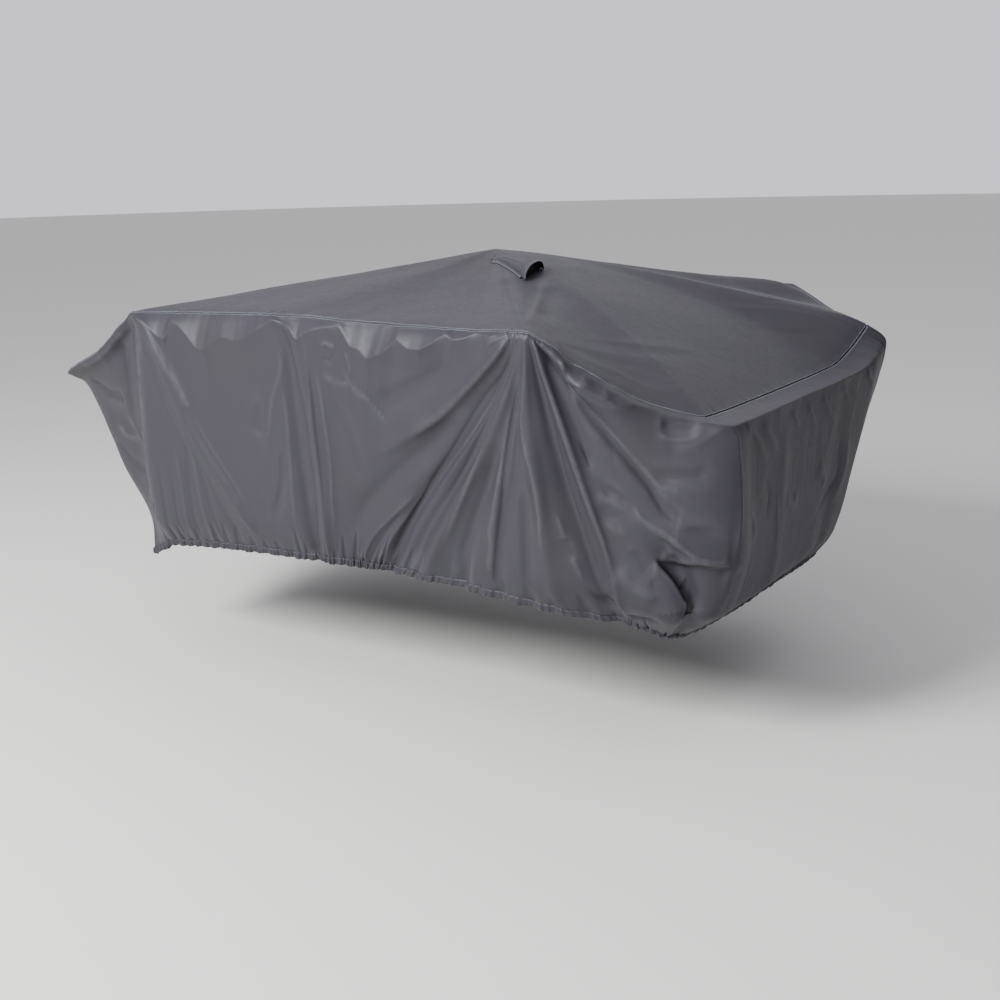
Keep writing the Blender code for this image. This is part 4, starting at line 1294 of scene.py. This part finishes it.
# ---------------------------------------------------------------- finishes
class NodeMaker:
    """Short ways to add nodes to a tree and to link them."""

    def __init__(self, tree: NodeTree, end: str) -> None:
        """Starts from a new tree and the name of the node in it that the others feed."""
        self.tree = tree
        self.end = tree.nodes[end]

    def join(self, value: object, socket: NodeSocket) -> None:
        """Links an output to a socket, or sets the socket's own value."""
        if isinstance(value, NodeSocket):
            self.tree.links.new(value, socket)
        else:
            socket.default_value = value

    def feed(self, node: Node, **inputs: object) -> Node:
        """Links or sets a node's inputs, by name with _ for a space."""
        for name, value in inputs.items():
            self.join(value, node.inputs[name.replace("_", " ")])
        return node

    def add(self, kind: str, **inputs: object) -> Node:
        """Adds a node of a kind, named without its prefix, with its inputs."""
        return self.feed(self.tree.nodes.new("ShaderNode" + kind), **inputs)

    def math(self, operation: str, first: object, second: object, kind: str = "Math") -> NodeSocket:
        """The result of one sum of two numbers, or of two vectors."""
        node = self.add(kind)
        node.operation = operation
        self.join(first, node.inputs[0])
        self.join(second, node.inputs[1])
        return node.outputs["Value"]

    def remap(self, value: object, old: Pair, new: Pair = (0.0, 1.0)) -> NodeSocket:
        """A value moved from one range to another, and kept in it."""
        ends = dict(zip(("From_Min", "From_Max", "To_Min", "To_Max"), (*old, *new)))
        return self.add("MapRange", Value=value, **ends).outputs["Result"]

    def blend(self, share: object, first: object, second: object) -> NodeSocket:
        """A colour between two."""
        node = self.add("Mix")
        node.data_type = "RGBA"
        for socket, value in zip(MIX_COLOUR_INPUTS, (share, first, second)):
            self.join(value, node.inputs[socket])
        return node.outputs[MIX_COLOUR_OUTPUT]

    def noise(self, place: NodeSocket, scale: float, **inputs: object) -> NodeSocket:
        """Noise at a place."""
        return self.add("TexNoise", Vector=place, Scale=scale, **inputs).outputs["Fac"]

    def bump(self, height: NodeSocket, strength: float, distance: float,
             **inputs: object) -> NodeSocket:
        """A normal from a height."""
        node = self.add("Bump", Height=height, Strength=strength, Distance=distance, **inputs)
        return node.outputs["Normal"]


class Finish(NodeMaker):
    """A material made of nodes."""

    def __init__(self, name: str) -> None:
        """Starts a material of that name."""
        self.material = bpy.data.materials.new(name)
        self.material.use_nodes = True
        super().__init__(self.material.node_tree, "Principled BSDF")

    def place(self, kind: str) -> NodeSocket:
        """Where a point is: Object for the piece's own frame, UV for its flat cloth."""
        return self.add("TexCoord").outputs[kind]

    def done(self, **inputs: object) -> Material:
        """Links or sets the shader's sockets and hands the material over."""
        self.feed(self.end, **inputs)
        return self.material


@dataclass(frozen=True)
class CoatedCloth:
    """Woven polyester with a thin coat: dark slate with a soft sheen.

    slate, painted_olive_reflection, dust: its colour, a painted reflection of green surroundings
    in olive, laid over random patches, and its rubbed ridges. pitch: of the weave. patches,
    mottle, crinkle: the scales of three noises. painted_reflection_range: where in the patches'
    noise the painted reflection starts and is full. rubbed: how much of a ridge is dust.
    gloss: the range of roughness. sheen, glint: the colours of its sheen and its shine.
    """

    slate: Colour = (0.0300, 0.0283, 0.0358)
    painted_olive_reflection: Colour = (0.0315, 0.0297, 0.0312)
    dust: Colour = (0.058, 0.056, 0.066)
    pitch: float = 0.0011
    patches: float = 2.6
    mottle: float = 60.0
    crinkle: float = 34.0
    painted_reflection_range: Pair = (0.56, 0.84)
    rubbed: float = 0.9
    gloss: Pair = (0.46, 0.52)
    sheen: Colour = (0.80, 0.82, 0.95)
    glint: Colour = (0.92, 0.92, 1.0)

    def make(self) -> Material:
        """Builds the material."""
        finish = Finish("coated_cloth")
        place, flat = finish.place("Object"), finish.place("UV")
        patches = finish.noise(place, self.patches, Detail=4.0)
        mottle = finish.noise(place, self.mottle, Detail=3.0)
        # Painted reflection: an olive tinge that stands for green surroundings seen in the cloth, mixed into
        # the base colour over random noise patches.
        painted_reflection_share = finish.remap(patches, self.painted_reflection_range)
        base = finish.blend(painted_reflection_share, (*self.slate, 1.0), (*self.painted_olive_reflection, 1.0))
        wear = finish.add("Attribute")
        wear.attribute_name = WEAR_NAME
        raised = finish.math("MAXIMUM", wear.outputs["Fac"], 0.0)
        raised = finish.math("MULTIPLY", raised, finish.math("MULTIPLY", mottle, self.rubbed))
        base = finish.blend(raised, base, (*self.dust, 1.0))
        turns = math.tau / 20 / self.pitch
        warp = finish.add("TexWave", Vector=flat, Scale=turns, Distortion=0.0)
        weft = finish.add("TexWave", Vector=flat, Scale=turns * 0.9, Distortion=0.0)
        weft.bands_direction = "Y"
        weave = finish.math("MULTIPLY", warp.outputs["Fac"], weft.outputs["Fac"])
        threads = finish.bump(weave, 0.02, 0.0004)
        crinkle = finish.noise(place, self.crinkle, Detail=1.5, Roughness=0.5)
        skin = finish.bump(crinkle, 0.11, 0.0016, Normal=threads)
        gloss = finish.remap(mottle, (0.3, 0.7), self.gloss)
        return finish.done(Base_Color=base, Roughness=gloss, Normal=skin, Sheen_Weight=0.02,
                           Sheen_Roughness=0.4, Sheen_Tint=(*self.sheen, 1.0),
                           Specular_IOR_Level=0.25, Specular_Tint=(*self.glint, 1.0))


@dataclass(frozen=True)
class KnittedNet:
    """The vent's dark net.

    colour, painted_hole_shade: of its threads, and the painted shade of the hood's inside
    seen through its holes, which are not cut. hole: their size.
    """

    colour: Colour = (0.010, 0.010, 0.011)
    painted_hole_shade: Colour = (0.002, 0.002, 0.002)
    hole: float = 0.0022

    def make(self) -> Material:
        """Builds the material."""
        finish = Finish("vent_net")
        flat = finish.place("UV")
        holes = finish.add("TexVoronoi", Vector=flat, Scale=1 / self.hole, Randomness=0.15)
        threads = finish.remap(holes.outputs["Distance"], (0.25, 0.55))
        # Painted shade: the holes are not cut, and a near-black colour stands for the dark inside of the hood
        # seen through them.
        colour = finish.blend(threads, (*self.painted_hole_shade, 1.0), (*self.colour, 1.0))
        relief = finish.bump(threads, 0.8, 0.0005)
        return finish.done(Base_Color=colour, Roughness=0.8, Normal=relief, Specular_IOR_Level=0.2)


@dataclass(frozen=True)
class Thread:
    """Pale blue-grey twisted polyester thread.

    colour, shade: where it is clean and where it is soiled. fibre, patches: noise scales.
    """

    colour: Colour = (0.200, 0.240, 0.275)
    shade: Colour = (0.120, 0.140, 0.160)
    fibre: float = 900.0
    patches: float = 9.0

    def make(self) -> Material:
        """Builds the material."""
        finish = Finish("thread")
        place = finish.place("Object")
        fibres = finish.noise(place, self.fibre, Detail=2.0)
        patches = finish.noise(place, self.patches, Detail=2.0)
        share = finish.remap(patches, (0.35, 0.65))
        colour = finish.blend(share, (*self.shade, 1.0), (*self.colour, 1.0))
        twist = finish.bump(fibres, 0.3, 0.0002)
        return finish.done(Base_Color=colour, Roughness=0.55, Normal=twist, Sheen_Weight=0.2)


@dataclass(frozen=True)
class PaleFloor:
    """A plain pale studio floor."""

    colour: Colour = (0.664, 0.672, 0.638)

    def make(self) -> Material:
        """Builds the material."""
        finish = Finish("pale_floor")
        return finish.done(Base_Color=(*self.colour, 1.0), Roughness=0.9, Specular_IOR_Level=0.1)


@dataclass
class Finishes:
    """All the cover's materials, each made once."""

    cloth: Material = field(default_factory=lambda: CoatedCloth().make())
    net: Material = field(default_factory=lambda: KnittedNet().make())
    thread: Material = field(default_factory=lambda: Thread().make())


def dress(made: Object, material: Material) -> Object:
    """Gives a piece its material, its slot and its body, and reports it.

    Args:
        made: the piece.
        material: its material.

    Returns:
        The piece.
    """
    made.data.materials.append(material)
    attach(made, "root")
    made.data.calc_loop_triangles()
    LOG.info("%s: %d triangles", made.name, len(made.data.loop_triangles))
    return made


# ---------------------------------------------------------------- the sewn pieces
@dataclass
class TopPanel:
    """The top: a rectangle of cloth, stretched like a low tent."""

    cloth: Cloth
    flat: Pair = (2.22, 1.28)

    def build(self, finishes: Finishes) -> Object:
        """Builds the sheet from rings of points that thin out towards its highest point."""
        seam = self.cloth.seam_row
        every = [1] + [step for _, _, rows, step in TOP_ROWS for _ in range(rows)]
        plan = [*zip(range(seam, -1, -1), every)]
        down = unit(self.cloth.outside[seam + 1] - self.cloth.outside[seam - 1]) * SEAM_GAP / 2
        points, faces, wear, starts, counts = [], [], [], [], []
        for side, sheet in enumerate((self.cloth.outside, self.cloth.inside)):
            rings = len(starts)
            for row, step in ((row, step * (1 + side)) for row, step in plan[:: 1 + side]):
                ring = sheet[row, ::step] - (down[::step] if row == seam else 0.0)
                starts.append(len(points))
                counts.append(len(ring))
                points.extend(ring)
                wear.extend(self.cloth.wear[row, ::step])
            layer = []
            for index in range(rings, len(starts) - 1):
                layer += ring_faces(starts[index], counts[index], starts[index + 1], counts[index + 1])
            last, count, tip = starts[-1], counts[-1], len(points)
            layer += [(last + step, last + (step + 1) % count, tip) for step in range(count)]
            points.append(np.array([0.0, 0.0, SOLID_THICKNESS - side * CLOTH_THICKNESS]))
            wear.append(0.0)
            faces += [face[::-1] for face in layer] if side else layer
        first, second, count = starts[0], starts[rings], counts[0]
        for step in range(0, count, 2):
            here, there = second + step // 2, second + (step // 2 + 1) % (count // 2)
            faces.append((first + (step + 2) % count, first + step + 1, first + step, here, there))
        made = mesh_object("top_cloth", np.array(points), faces)
        set_uv(made, np.array(points)[:, :2])
        set_wear(made, np.array(wear))
        dress(made, finishes.cloth)
        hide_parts("top_panel")
        return made


@dataclass
class SkirtStrip:
    """One strip of the skirt, from the seam down into its hem's casing."""

    cloth: Cloth
    side: Side

    def build(self, finishes: Finishes) -> Object:
        """Builds the sheet."""
        name = self.side.name.lower()
        outside, seam = self.cloth.outside, self.cloth.seam_row
        first, last = self.cloth.spans[self.side]
        columns = np.arange(first, last + 1) % outside.shape[1]
        across = unit(np.roll(outside, -1, axis=1) - np.roll(outside, 1, axis=1)) * SEAM_GAP / 2
        down = unit(outside[seam + 1] - outside[seam - 1]) * SEAM_GAP / 2
        sheets = []
        for sheet in (outside, self.cloth.inside):
            part = sheet[seam:, columns].copy()
            part[0] += down[columns]
            part[:, 0] += across[seam:, columns[0]]
            part[:, -1] -= across[seam:, columns[-1]]
            sheets.append(part)
        points, faces, numbers = closed_sheet(*sheets)
        made = mesh_object(name + "_cloth", points, faces)
        along = self.cloth.places[seam:, columns].copy()
        closing = along[:, -1] < along[:, 0]
        along[closing, -1] += self.cloth.drape.whole
        fall = np.broadcast_to(-self.cloth.levels[seam:, None] * DROP, along.shape)
        set_uv(made, np.stack([along, fall], -1).reshape(-1, 2)[numbers])
        set_wear(made, self.cloth.wear[seam:, columns].ravel()[numbers])
        dress(made, finishes.cloth)
        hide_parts("skirt_" + name)
        return made


@dataclass
class HemCasing:
    """The hem of one strip: a flat casing, gathered by the elastic in it.

    height, bulge, least_bulge: of the casing, and the share that is left between gathers.
    spacing, margin: between its rings, and at its two ends as a share of that. corners: of
    a ring. square: how flat its sides are. sample: how many points of the hem stand for all
    of it in its length. narrow, wide, whole: the gathers' widths and the length over which
    they repeat. shift: how far a section moves them along. plump: how round they are.
    wander: the length over which the casing sways. taller, longer: how much a gather and
    the sway add to its height. hang, sway: how far it hangs down. puff, tilt, sunk: how far
    it stands out. lean: how far it leans.
    """

    cloth: Cloth
    side: Side
    height: float = 0.022
    bulge: float = 0.0040
    least_bulge: float = 0.40
    spacing: float = 0.0026
    margin: float = 0.3
    corners: int = 12
    square: float = 0.7
    sample: int = 3
    narrow: float = 0.006
    wide: float = 0.016
    whole: float = 6.0
    shift: float = 0.3
    plump: float = 0.7
    wander: float = 0.019
    taller: float = 0.14
    longer: float = 0.10
    hang: float = 0.0015
    sway: float = 0.0020
    puff: float = 0.0014
    tilt: float = 0.0010
    sunk: float = 0.0006
    lean: float = 0.25

    def ring(self, spot: float, along: float, gather: float, draw: float, noise: Unevenness) -> Array:
        """One ring of points round the casing.

        Args:
            spot: its place, in columns of the cloth.
            along: how far along the hem it is.
            gather: how high its gather is there, from 0 to 1.
            draw: how far that gather is drawn up, from 0 to 1.
            noise: what the casing sways by.

        Returns:
            The points.
        """
        edge, _ = self.cloth.at(len(self.cloth.levels) - 1.001, spot)
        above, normal = self.cloth.at(len(self.cloth.levels) - 3.0, spot)
        down = unit(edge - above)
        normal = unit(normal - down * float(normal @ down))
        sway, tilt = (float(noise.read(np.array([along, apart, 0.0]), self.wander)) for apart in (0.0, 7.7))
        half = self.height / 2 * (1 + self.taller * gather * draw + self.longer * sway)
        thick = self.bulge * (self.least_bulge + gather * (0.5 + 0.5 * draw))
        out = self.puff * gather + self.tilt * tilt - self.sunk
        centre = edge - down * (half - self.hang - self.sway * sway) + normal * out
        angles = np.linspace(0, math.tau, self.corners, endpoint=False)
        flank = np.sign(np.cos(angles)) * np.abs(np.cos(angles)) ** self.square
        sweep = np.outer(np.sin(angles), unit(down + normal * self.lean * tilt)) * half
        return centre + (sweep + np.outer(flank, normal) * thick)

    def build(self, finishes: Finishes) -> Object:
        """Builds the casing as a closed tube along the hem."""
        first, last = self.cloth.spans[self.side]
        columns = np.arange(first, last + 1)
        reach = lengths_along(self.cloth.outside[-1][columns % self.sample])
        count = int(reach[-1] / self.spacing)
        margin = self.spacing * self.margin
        spots = np.interp(np.linspace(margin, reach[-1] - margin, count), reach, columns)
        line = np.linspace(0, reach[-1], count)
        shifted = line + self.side.value * self.shift
        gathers = Gathers(self.narrow, self.wide, SEED + 5, self.whole)
        before, _, width, chance, _ = gathers.read(shifted)
        heights = np.sin(np.pi * np.clip(before / width, 0, 1)) ** self.plump
        noise = Unevenness(SEED + 6)
        rings = [self.ring(*numbers, noise) for numbers in zip(spots, shifted, heights, chance)]
        index = np.arange(count * self.corners).reshape(count, self.corners)
        beside = np.roll(index, -1, axis=1)
        walls = np.stack([index[:-1], beside[:-1], beside[1:], index[1:]], -1)
        faces = [*map(tuple, walls.reshape(-1, 4).tolist())]
        faces += [tuple(index[0, ::-1].tolist()), tuple(index[-1].tolist())]
        made = mesh_object(self.side.name.lower() + "_hem", np.array(rings).reshape(-1, 3), faces)
        angles = np.linspace(0, math.tau, self.corners, endpoint=False)
        rises = np.tile(np.sin(angles) * self.height / 2, count)
        set_uv(made, np.stack([np.repeat(line, self.corners), rises], -1))
        set_wear(made, np.repeat(heights * 0.5 - 0.5, self.corners))
        return dress(made, finishes.cloth)


@dataclass
class Stitching:
    """Rows of machine stitches.

    length, pitch: of a stitch, and from one to the next. width, thick: of the thread, and
    its thickness as a share of that. drawn_in, sag: how much thinner its ends are, and how
    much lower. lift: how far it lies on the cloth, in widths. beside: from the seam round
    the top to each row. probe: how far ahead and back a row's direction is read. near_rows:
    how many of the cloth's rows by the seam are read.
    """

    cloth: Cloth
    length: float = 0.0036
    pitch: float = 0.0047
    width: float = 0.0013
    thick: float = 0.8
    drawn_in: float = 0.55
    sag: float = 0.25
    lift: float = 0.22
    beside: float = 0.0046
    probe: float = 0.001
    near_rows: int = 8

    def stitch(self) -> tuple[Array, list[Face]]:
        """Models one stitch along X: a block, cut in half and drawn in at its ends.

        Returns:
            Its points and its faces.
        """
        deselect_all()
        bpy.ops.mesh.primitive_cube_add(size=1.0)
        block = bpy.context.object
        bpy.ops.object.mode_set(mode="EDIT")
        bpy.ops.mesh.select_all(action="SELECT")
        bpy.ops.mesh.bisect(plane_co=(0, 0, 0), plane_no=(1, 0, 0))
        bpy.ops.mesh.select_all(action="SELECT")
        bpy.ops.transform.resize(value=(self.length, self.width, self.width * self.thick))
        bpy.ops.object.mode_set(mode="OBJECT")
        shape = np.array([vertex.co for vertex in block.data.vertices])
        drawn = 1 - self.drawn_in * (np.abs(shape[:, :1]) / (self.length / 2)) ** 2
        shape[:, 1:] *= drawn
        shape[:, 2] -= self.width * self.sag * (1 - drawn[:, 0])
        faces = [tuple(face.vertices) for face in block.data.polygons]
        bpy.data.objects.remove(block, do_unlink=True)
        return shape, faces

    def sew(self, name: str, rows: list[tuple[Array, Array]], finishes: Finishes) -> Object:
        """Copies the stitch along rows and joins the copies.

        Args:
            name: the piece's name.
            rows: each row's points and the cloth's normals there.
            finishes: the cover's materials.

        Returns:
            The piece.
        """
        shape, pattern = self.stitch()
        points, faces = [], []
        for line, normals in rows:
            reach = lengths_along(line)
            spots = np.arange(self.pitch / 2, reach[-1], self.pitch)
            up = unit(read_between(spots, reach, normals))
            ahead, back = (read_between(spots + off, reach, line) for off in (self.probe, -self.probe))
            way = unit(ahead - back)
            turns = np.stack([way, unit(np.cross(up, way)), up], 1)
            for centre, turn in zip(read_between(spots, reach, line), turns):
                start = len(points)
                points.extend(centre + turn[2] * self.width * self.lift + shape @ turn)
                faces += [tuple(corner + start for corner in face) for face in pattern]
        made = mesh_object(name, np.array(points), faces)
        return dress(made, finishes.thread)

    def along_seam(self, step: int) -> tuple[Array, Array]:
        """A row of stitches beside the seam round the top, below it for 1 and above it for -1."""
        rows = self.cloth.seam_row + step * np.arange(self.near_rows)
        near = self.cloth.outside[rows]
        reach = lengths_along(near)
        both = np.concatenate([near, grid_normals(self.cloth.outside)[rows]], axis=2)
        columns = range(both.shape[1])
        read = [read_between(self.beside, reach[:, column], both[:, column]) for column in columns]
        read = np.array(read + read[:1])
        return read[:, :3], unit(read[:, 3:])


@dataclass
class Vent:
    """The hooded vent on the top: a sewn half cone of cloth, with a net in its mouth.

    x, y: the middle of its mouth from the middle of the cover. faces: where it opens, in
    degrees from +X. width, length, height: of the hood. skew: how far its tail lies to the
    back. tail, taper: the share of its mouth's size that is left at the tail, and how early
    it narrows. arch: how round it is. clearance: over the top. rim, rim_edge, rim_rise: the
    band round its mouth. crumple, gather, gather_place: the height of its unevenness, and of
    its gathers, a share of the length from the tail and how far to each side. flange,
    flange_from, flange_lifts, flange_roll: the sewn edge's width, where it starts, its two
    sides over the top and how much it rolls. stitch_rows, stitch_lift: beside the hood's
    feet and over the top. rows, arc, net_rows: of the grids. net_back, net_bow, net_gap: how far
    the net is set back, bows out and stays under the hood.
    """

    top: Object
    x: float = 0.313
    y: float = -0.134
    faces: float = 12.0
    width: float = 0.152
    length: float = 0.190
    height: float = 0.033
    skew: float = 0.170
    tail: float = 0.12
    taper: float = 1.15
    arch: float = 0.85
    clearance: float = 0.0012
    rim: float = 0.013
    rim_edge: float = 0.02
    rim_rise: float = 0.0012
    crumple: float = 0.0010
    gather: float = 0.0012
    gather_place: Pair = (0.86, 0.06)
    flange: float = 0.017
    flange_from: float = 0.90
    flange_lifts: Pair = (0.0018, 0.0007)
    flange_roll: float = 0.0018
    stitch_rows: Pair = (0.0030, 0.0130)
    stitch_lift: float = 0.0030
    rows: int = 44
    arc: int = 40
    net_rows: int = 10
    net_back: float = 0.014
    net_bow: float = 0.004
    net_gap: float = 0.0016
    tree: BVHTree = field(init=False)
    forward: Array = field(init=False)
    aside: Array = field(init=False)

    def __post_init__(self) -> None:
        """Readies the top's surface to be felt from above."""
        self.tree = BVHTree.FromObject(self.top, bpy.context.evaluated_depsgraph_get())
        self.forward = np.array([math.cos(math.radians(self.faces)), math.sin(math.radians(self.faces))])
        self.aside = np.array([-self.forward[1], self.forward[0]])

    def on_top(self, along: float, across: float) -> Array:
        """The top's surface at a place seen from the vent's mouth."""
        x, y = np.array([self.x - PEAK_X, self.y - PEAK_Y]) + self.forward * along + self.aside * across
        hit = self.tree.ray_cast((x, y, 1.0), (0.0, 0.0, -1.0))[0]
        return np.array([x, y, hit.z])

    def half_at(self, share: float) -> float:
        """Half the hood's width at a share of its length from the tail."""
        return self.width / 2 * self.size_at(share)

    def size_at(self, share: float) -> float:
        """The hood's size at a share of its length from the tail."""
        return self.tail + (1 - self.tail) * share**self.taper

    def foot(self, share: float, across: float) -> Array:
        """A place on the top at a share of the hood's length, so far across its middle line."""
        return self.on_top((share - 1) * self.length, self.skew * (1 - share) + across)

    def hood_point(self, share: float, turn: float, inset: float) -> Array:
        """A point of the hood.

        Args:
            share: of its length from the tail.
            turn: from 0 at its near foot to 1 at its far foot.
            inset: how far inside its outer surface.

        Returns:
            The point.
        """
        angle = math.pi * turn
        rim = (share - 1 + self.rim / self.length) / self.rim_edge + 1
        lip = self.rim_rise * smooth_step(np.array(rim))
        crumple = self.crumple * math.sin(9 * angle + 4 * share) * math.sin(math.pi * share) ** 2
        place, reach = self.gather_place
        gather = self.gather * math.sin(23 * angle) * math.exp(-((share - place) / reach) ** 2)
        out = float(lip) + crumple + gather - inset
        base = self.foot(share, -(self.half_at(share) + out) * math.cos(angle))
        peaked = math.sin(angle) ** self.arch if 0 < turn < 1 else 0.0
        base[2] += self.clearance + (self.height * self.size_at(share) + out) * peaked
        return base

    def build_hood(self, finishes: Finishes) -> Object:
        """Builds the hood's sheet, with a rubbed rim."""
        shares = np.linspace(1, 0, self.rows)
        turns = np.linspace(1, 0, self.arc)
        sheets = [np.array([[self.hood_point(share, turn, inset) for turn in turns] for share in shares])
                  for inset in (0.0, CLOTH_THICKNESS)]
        points, faces, numbers = closed_sheet(*sheets)
        made = mesh_object("vent_hood_cloth", points, faces)
        flat = np.stack(np.meshgrid(turns * HOOD_FLAT[1], shares * self.length), -1).reshape(-1, 2)
        set_uv(made, flat[numbers])
        set_wear(made, np.repeat(smooth_step((shares - 0.9) / 0.05) * 0.9, self.arc)[numbers])
        dress(made, finishes.cloth)
        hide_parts("vent_hood")
        return made

    def foot_line(self, side: int, out: float) -> tuple[Array, Array]:
        """A line of stitches beside one foot of the hood, from mouth to tail, and the normals there."""
        line = []
        for share in np.linspace(self.flange_from, 0.02, 60):
            place = self.foot(share, side * (self.half_at(share) + out))
            line.append(place + np.array([0, 0, self.stitch_lift]))
        return np.array(line), np.tile([0.0, 0.0, 1.0], (len(line), 1))

    def build_flange(self, finishes: Finishes) -> Object:
        """Builds the strip along the hood's feet and round its tail, by which it is sewn down."""
        shares = np.linspace(self.flange_from, 0, 46)
        path = [(-1, share) for share in shares] + [(1, share) for share in shares[::-1]]
        outs = np.linspace(-0.001, self.flange, 9)
        sheets = []
        for lift in self.flange_lifts:
            rolls = [math.sin(math.pi * step / 4) ** 2 for step in range(len(outs))]
            rises = [lift + self.flange_roll * roll for roll in rolls]
            sheets.append(np.array([
                [self.foot(share, side * (self.half_at(share) + out)) + np.array([0.0, 0.0, rise])
                 for out, rise in zip(outs, rises)]
                for side, share in path
            ]))
        points, faces, _ = closed_sheet(*sheets)
        made = mesh_object("vent_flange", points, faces)
        set_uv(made, points[:, :2])
        set_wear(made, np.full(len(points), 0.4))
        return dress(made, finishes.cloth)

    def build_net(self, finishes: Finishes) -> Object:
        """Builds the net, set back in the mouth."""
        share = 1 - self.net_back / self.length
        turns = np.linspace(0.06, 0.94, 36)
        rises = 1 - np.arange(self.net_rows) / (self.net_rows - 1)
        forward = np.array([*self.forward, 0.0])
        ahead = []
        for rise in rises:
            line = []
            for turn in turns[::-1]:
                over = self.hood_point(share, turn, CLOTH_THICKNESS + self.net_gap)
                foot = self.foot(share, -self.half_at(share) * math.cos(math.pi * turn))
                foot[2] += self.clearance
                bow = self.net_bow * math.sin(math.pi * rise) * math.sin(math.pi * turn)
                line.append(foot + (over - foot) * rise + forward * bow)
            ahead.append(line)
        points, faces, numbers = closed_sheet(np.array(ahead), np.array(ahead) - forward * NET_THICKNESS)
        made = mesh_object("vent_net_cloth", points, faces)
        flat = np.stack(np.meshgrid(turns * self.width, np.linspace(0, self.height, len(rises))), -1)
        set_uv(made, flat.reshape(-1, 2)[numbers])
        dress(made, finishes.net)
        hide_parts("vent_mesh")
        return made


# ---------------------------------------------------------------- the studio
@dataclass(frozen=True)
class Flag:
    """A dark side of the surroundings, as if a black flag hung there.

    direction: where it hangs. start, full: how near to that direction, as a cosine, the
    dark starts and is full. left: the share of the light that is left there.
    """

    direction: tuple[float, float, float]
    start: float
    full: float
    left: float


@dataclass(frozen=True)
class Studio:
    """A plain pale floor, soft light and the camera.

    yaw, pitch, roll: of the camera, in degrees. eye: its place. floor_z, floor_radius: the
    ground. key_azimuth, key_height: where the key light stands, in degrees from +X and from
    the ground. key_away, key_aim, key_size, key_power: how far off it is, the height that it
    faces, its side and its watts. sky, tint: how bright the surroundings are, and their
    colour. flags: their dark sides.
    """

    yaw: float = -33.538
    pitch: float = 14.113
    roll: float = -1.444
    eye: tuple[float, float, float] = (2.317, -3.506, 0.278)
    lens: float = 49.51
    sensor: float = 36.0
    floor_z: float = -HOLD_HEIGHT
    floor_radius: float = 40.0
    key_azimuth: float = -102.0
    key_height: float = 30.0
    key_away: float = 6.0
    key_aim: float = -0.5
    key_size: float = 2.0
    key_power: float = 760.0
    sky: float = 1.0
    tint: Colour = (0.985, 0.965, 1.05)
    flags: tuple[Flag, ...] = (
        Flag((0.95, 0.20, -0.20), 0.20, 0.70, 0.06),
        Flag((-0.95, -0.30, 0.00), 0.45, 0.90, 0.35),
    )

    def set_camera(self) -> None:
        """Places the camera."""
        yaw, pitch, roll = (math.radians(angle) for angle in (self.yaw, self.pitch, self.roll))
        ahead = Vector((math.sin(yaw) * math.cos(pitch), math.cos(yaw) * math.cos(pitch), -math.sin(pitch)))
        level = Vector((math.cos(yaw), -math.sin(yaw), 0.0))
        over = level.cross(ahead)
        right = level * math.cos(roll) + over * math.sin(roll)
        up = over * math.cos(roll) - level * math.sin(roll)
        camera = bpy.data.objects.new("camera", bpy.data.cameras.new("camera"))
        camera.data.lens = self.lens
        camera.data.sensor_width = self.sensor
        turn = Matrix((right, up, -ahead)).transposed().to_4x4()
        camera.matrix_world = Matrix.Translation(self.eye) @ turn
        bpy.context.scene.collection.objects.link(camera)
        bpy.context.scene.camera = camera

    def set_key_light(self) -> None:
        """Adds the soft light that faces the cover."""
        light = bpy.data.lights.new("key", "AREA")
        light.size = self.key_size
        light.energy = self.key_power
        placed = bpy.data.objects.new("key", light)
        flat, lift = math.radians(self.key_azimuth), math.radians(self.key_height)
        way = Vector((math.cos(flat) * math.cos(lift), math.sin(flat) * math.cos(lift), math.sin(lift)))
        placed.location = way * self.key_away + Vector((0.0, 0.0, self.key_aim))
        placed.rotation_euler = way.to_track_quat("Z", "Y").to_euler()
        bpy.context.scene.collection.objects.link(placed)

    def set_world(self) -> None:
        """Makes the surroundings near white, with flags that light the cover but aren't seen."""
        world = bpy.data.worlds.new("studio")
        world.use_nodes = True
        bpy.context.scene.world = world
        nodes = NodeMaker(world.node_tree, "Background")
        place = nodes.add("TexCoord").outputs["Generated"]
        strength = self.sky
        for flag in self.flags:
            towards = nodes.math("DOT_PRODUCT", place, flag.direction, "VectorMath")
            shade = nodes.remap(towards, (flag.start, flag.full), (1.0, flag.left))
            strength = nodes.math("MULTIPLY", shade, strength)
        camera_ray = nodes.add("LightPath").outputs["Is Camera Ray"]
        strength = nodes.math("MAXIMUM", strength, camera_ray)
        nodes.feed(nodes.end, Strength=strength, Color=(*self.tint, 1.0))

    def build(self) -> None:
        """Builds the floor, the lights and the camera."""
        self.set_camera()
        deselect_all()
        bpy.ops.mesh.primitive_circle_add(
            vertices=96, radius=self.floor_radius, fill_type="NGON", location=(0, 0, self.floor_z)
        )
        floor = bpy.context.object
        floor.name = "studio_floor"
        floor.data.materials.append(PaleFloor().make())
        self.set_world()
        self.set_key_light()


def main() -> None:
    """Builds the cover piece by piece, then the studio."""
    logging.basicConfig(level=logging.INFO, format="%(message)s")
    finishes = Finishes()
    cloth = Cloth(Drape())
    LOG.info("cloth: %d rows, %d columns", *cloth.outside.shape[:2])

    panel = TopPanel(cloth)
    top = panel.build(finishes)
    stitching = Stitching(cloth)
    seam = stitching.sew("seam_stitches", [stitching.along_seam(step) for step in (1, -1)], finishes)

    for side in Side:
        strip = SkirtStrip(cloth, side).build(finishes)
        hem = HemCasing(cloth, side).build(finishes)

    vent = Vent(top)
    hood = vent.build_hood(finishes)
    flange = vent.build_flange(finishes)
    net = vent.build_net(finishes)
    lines = [vent.foot_line(side, out) for side in (-1, 1) for out in vent.stitch_rows]
    vent_seam = stitching.sew("vent_stitches", lines, finishes)
    Studio().build()


if __name__ == "__main__":
    main()
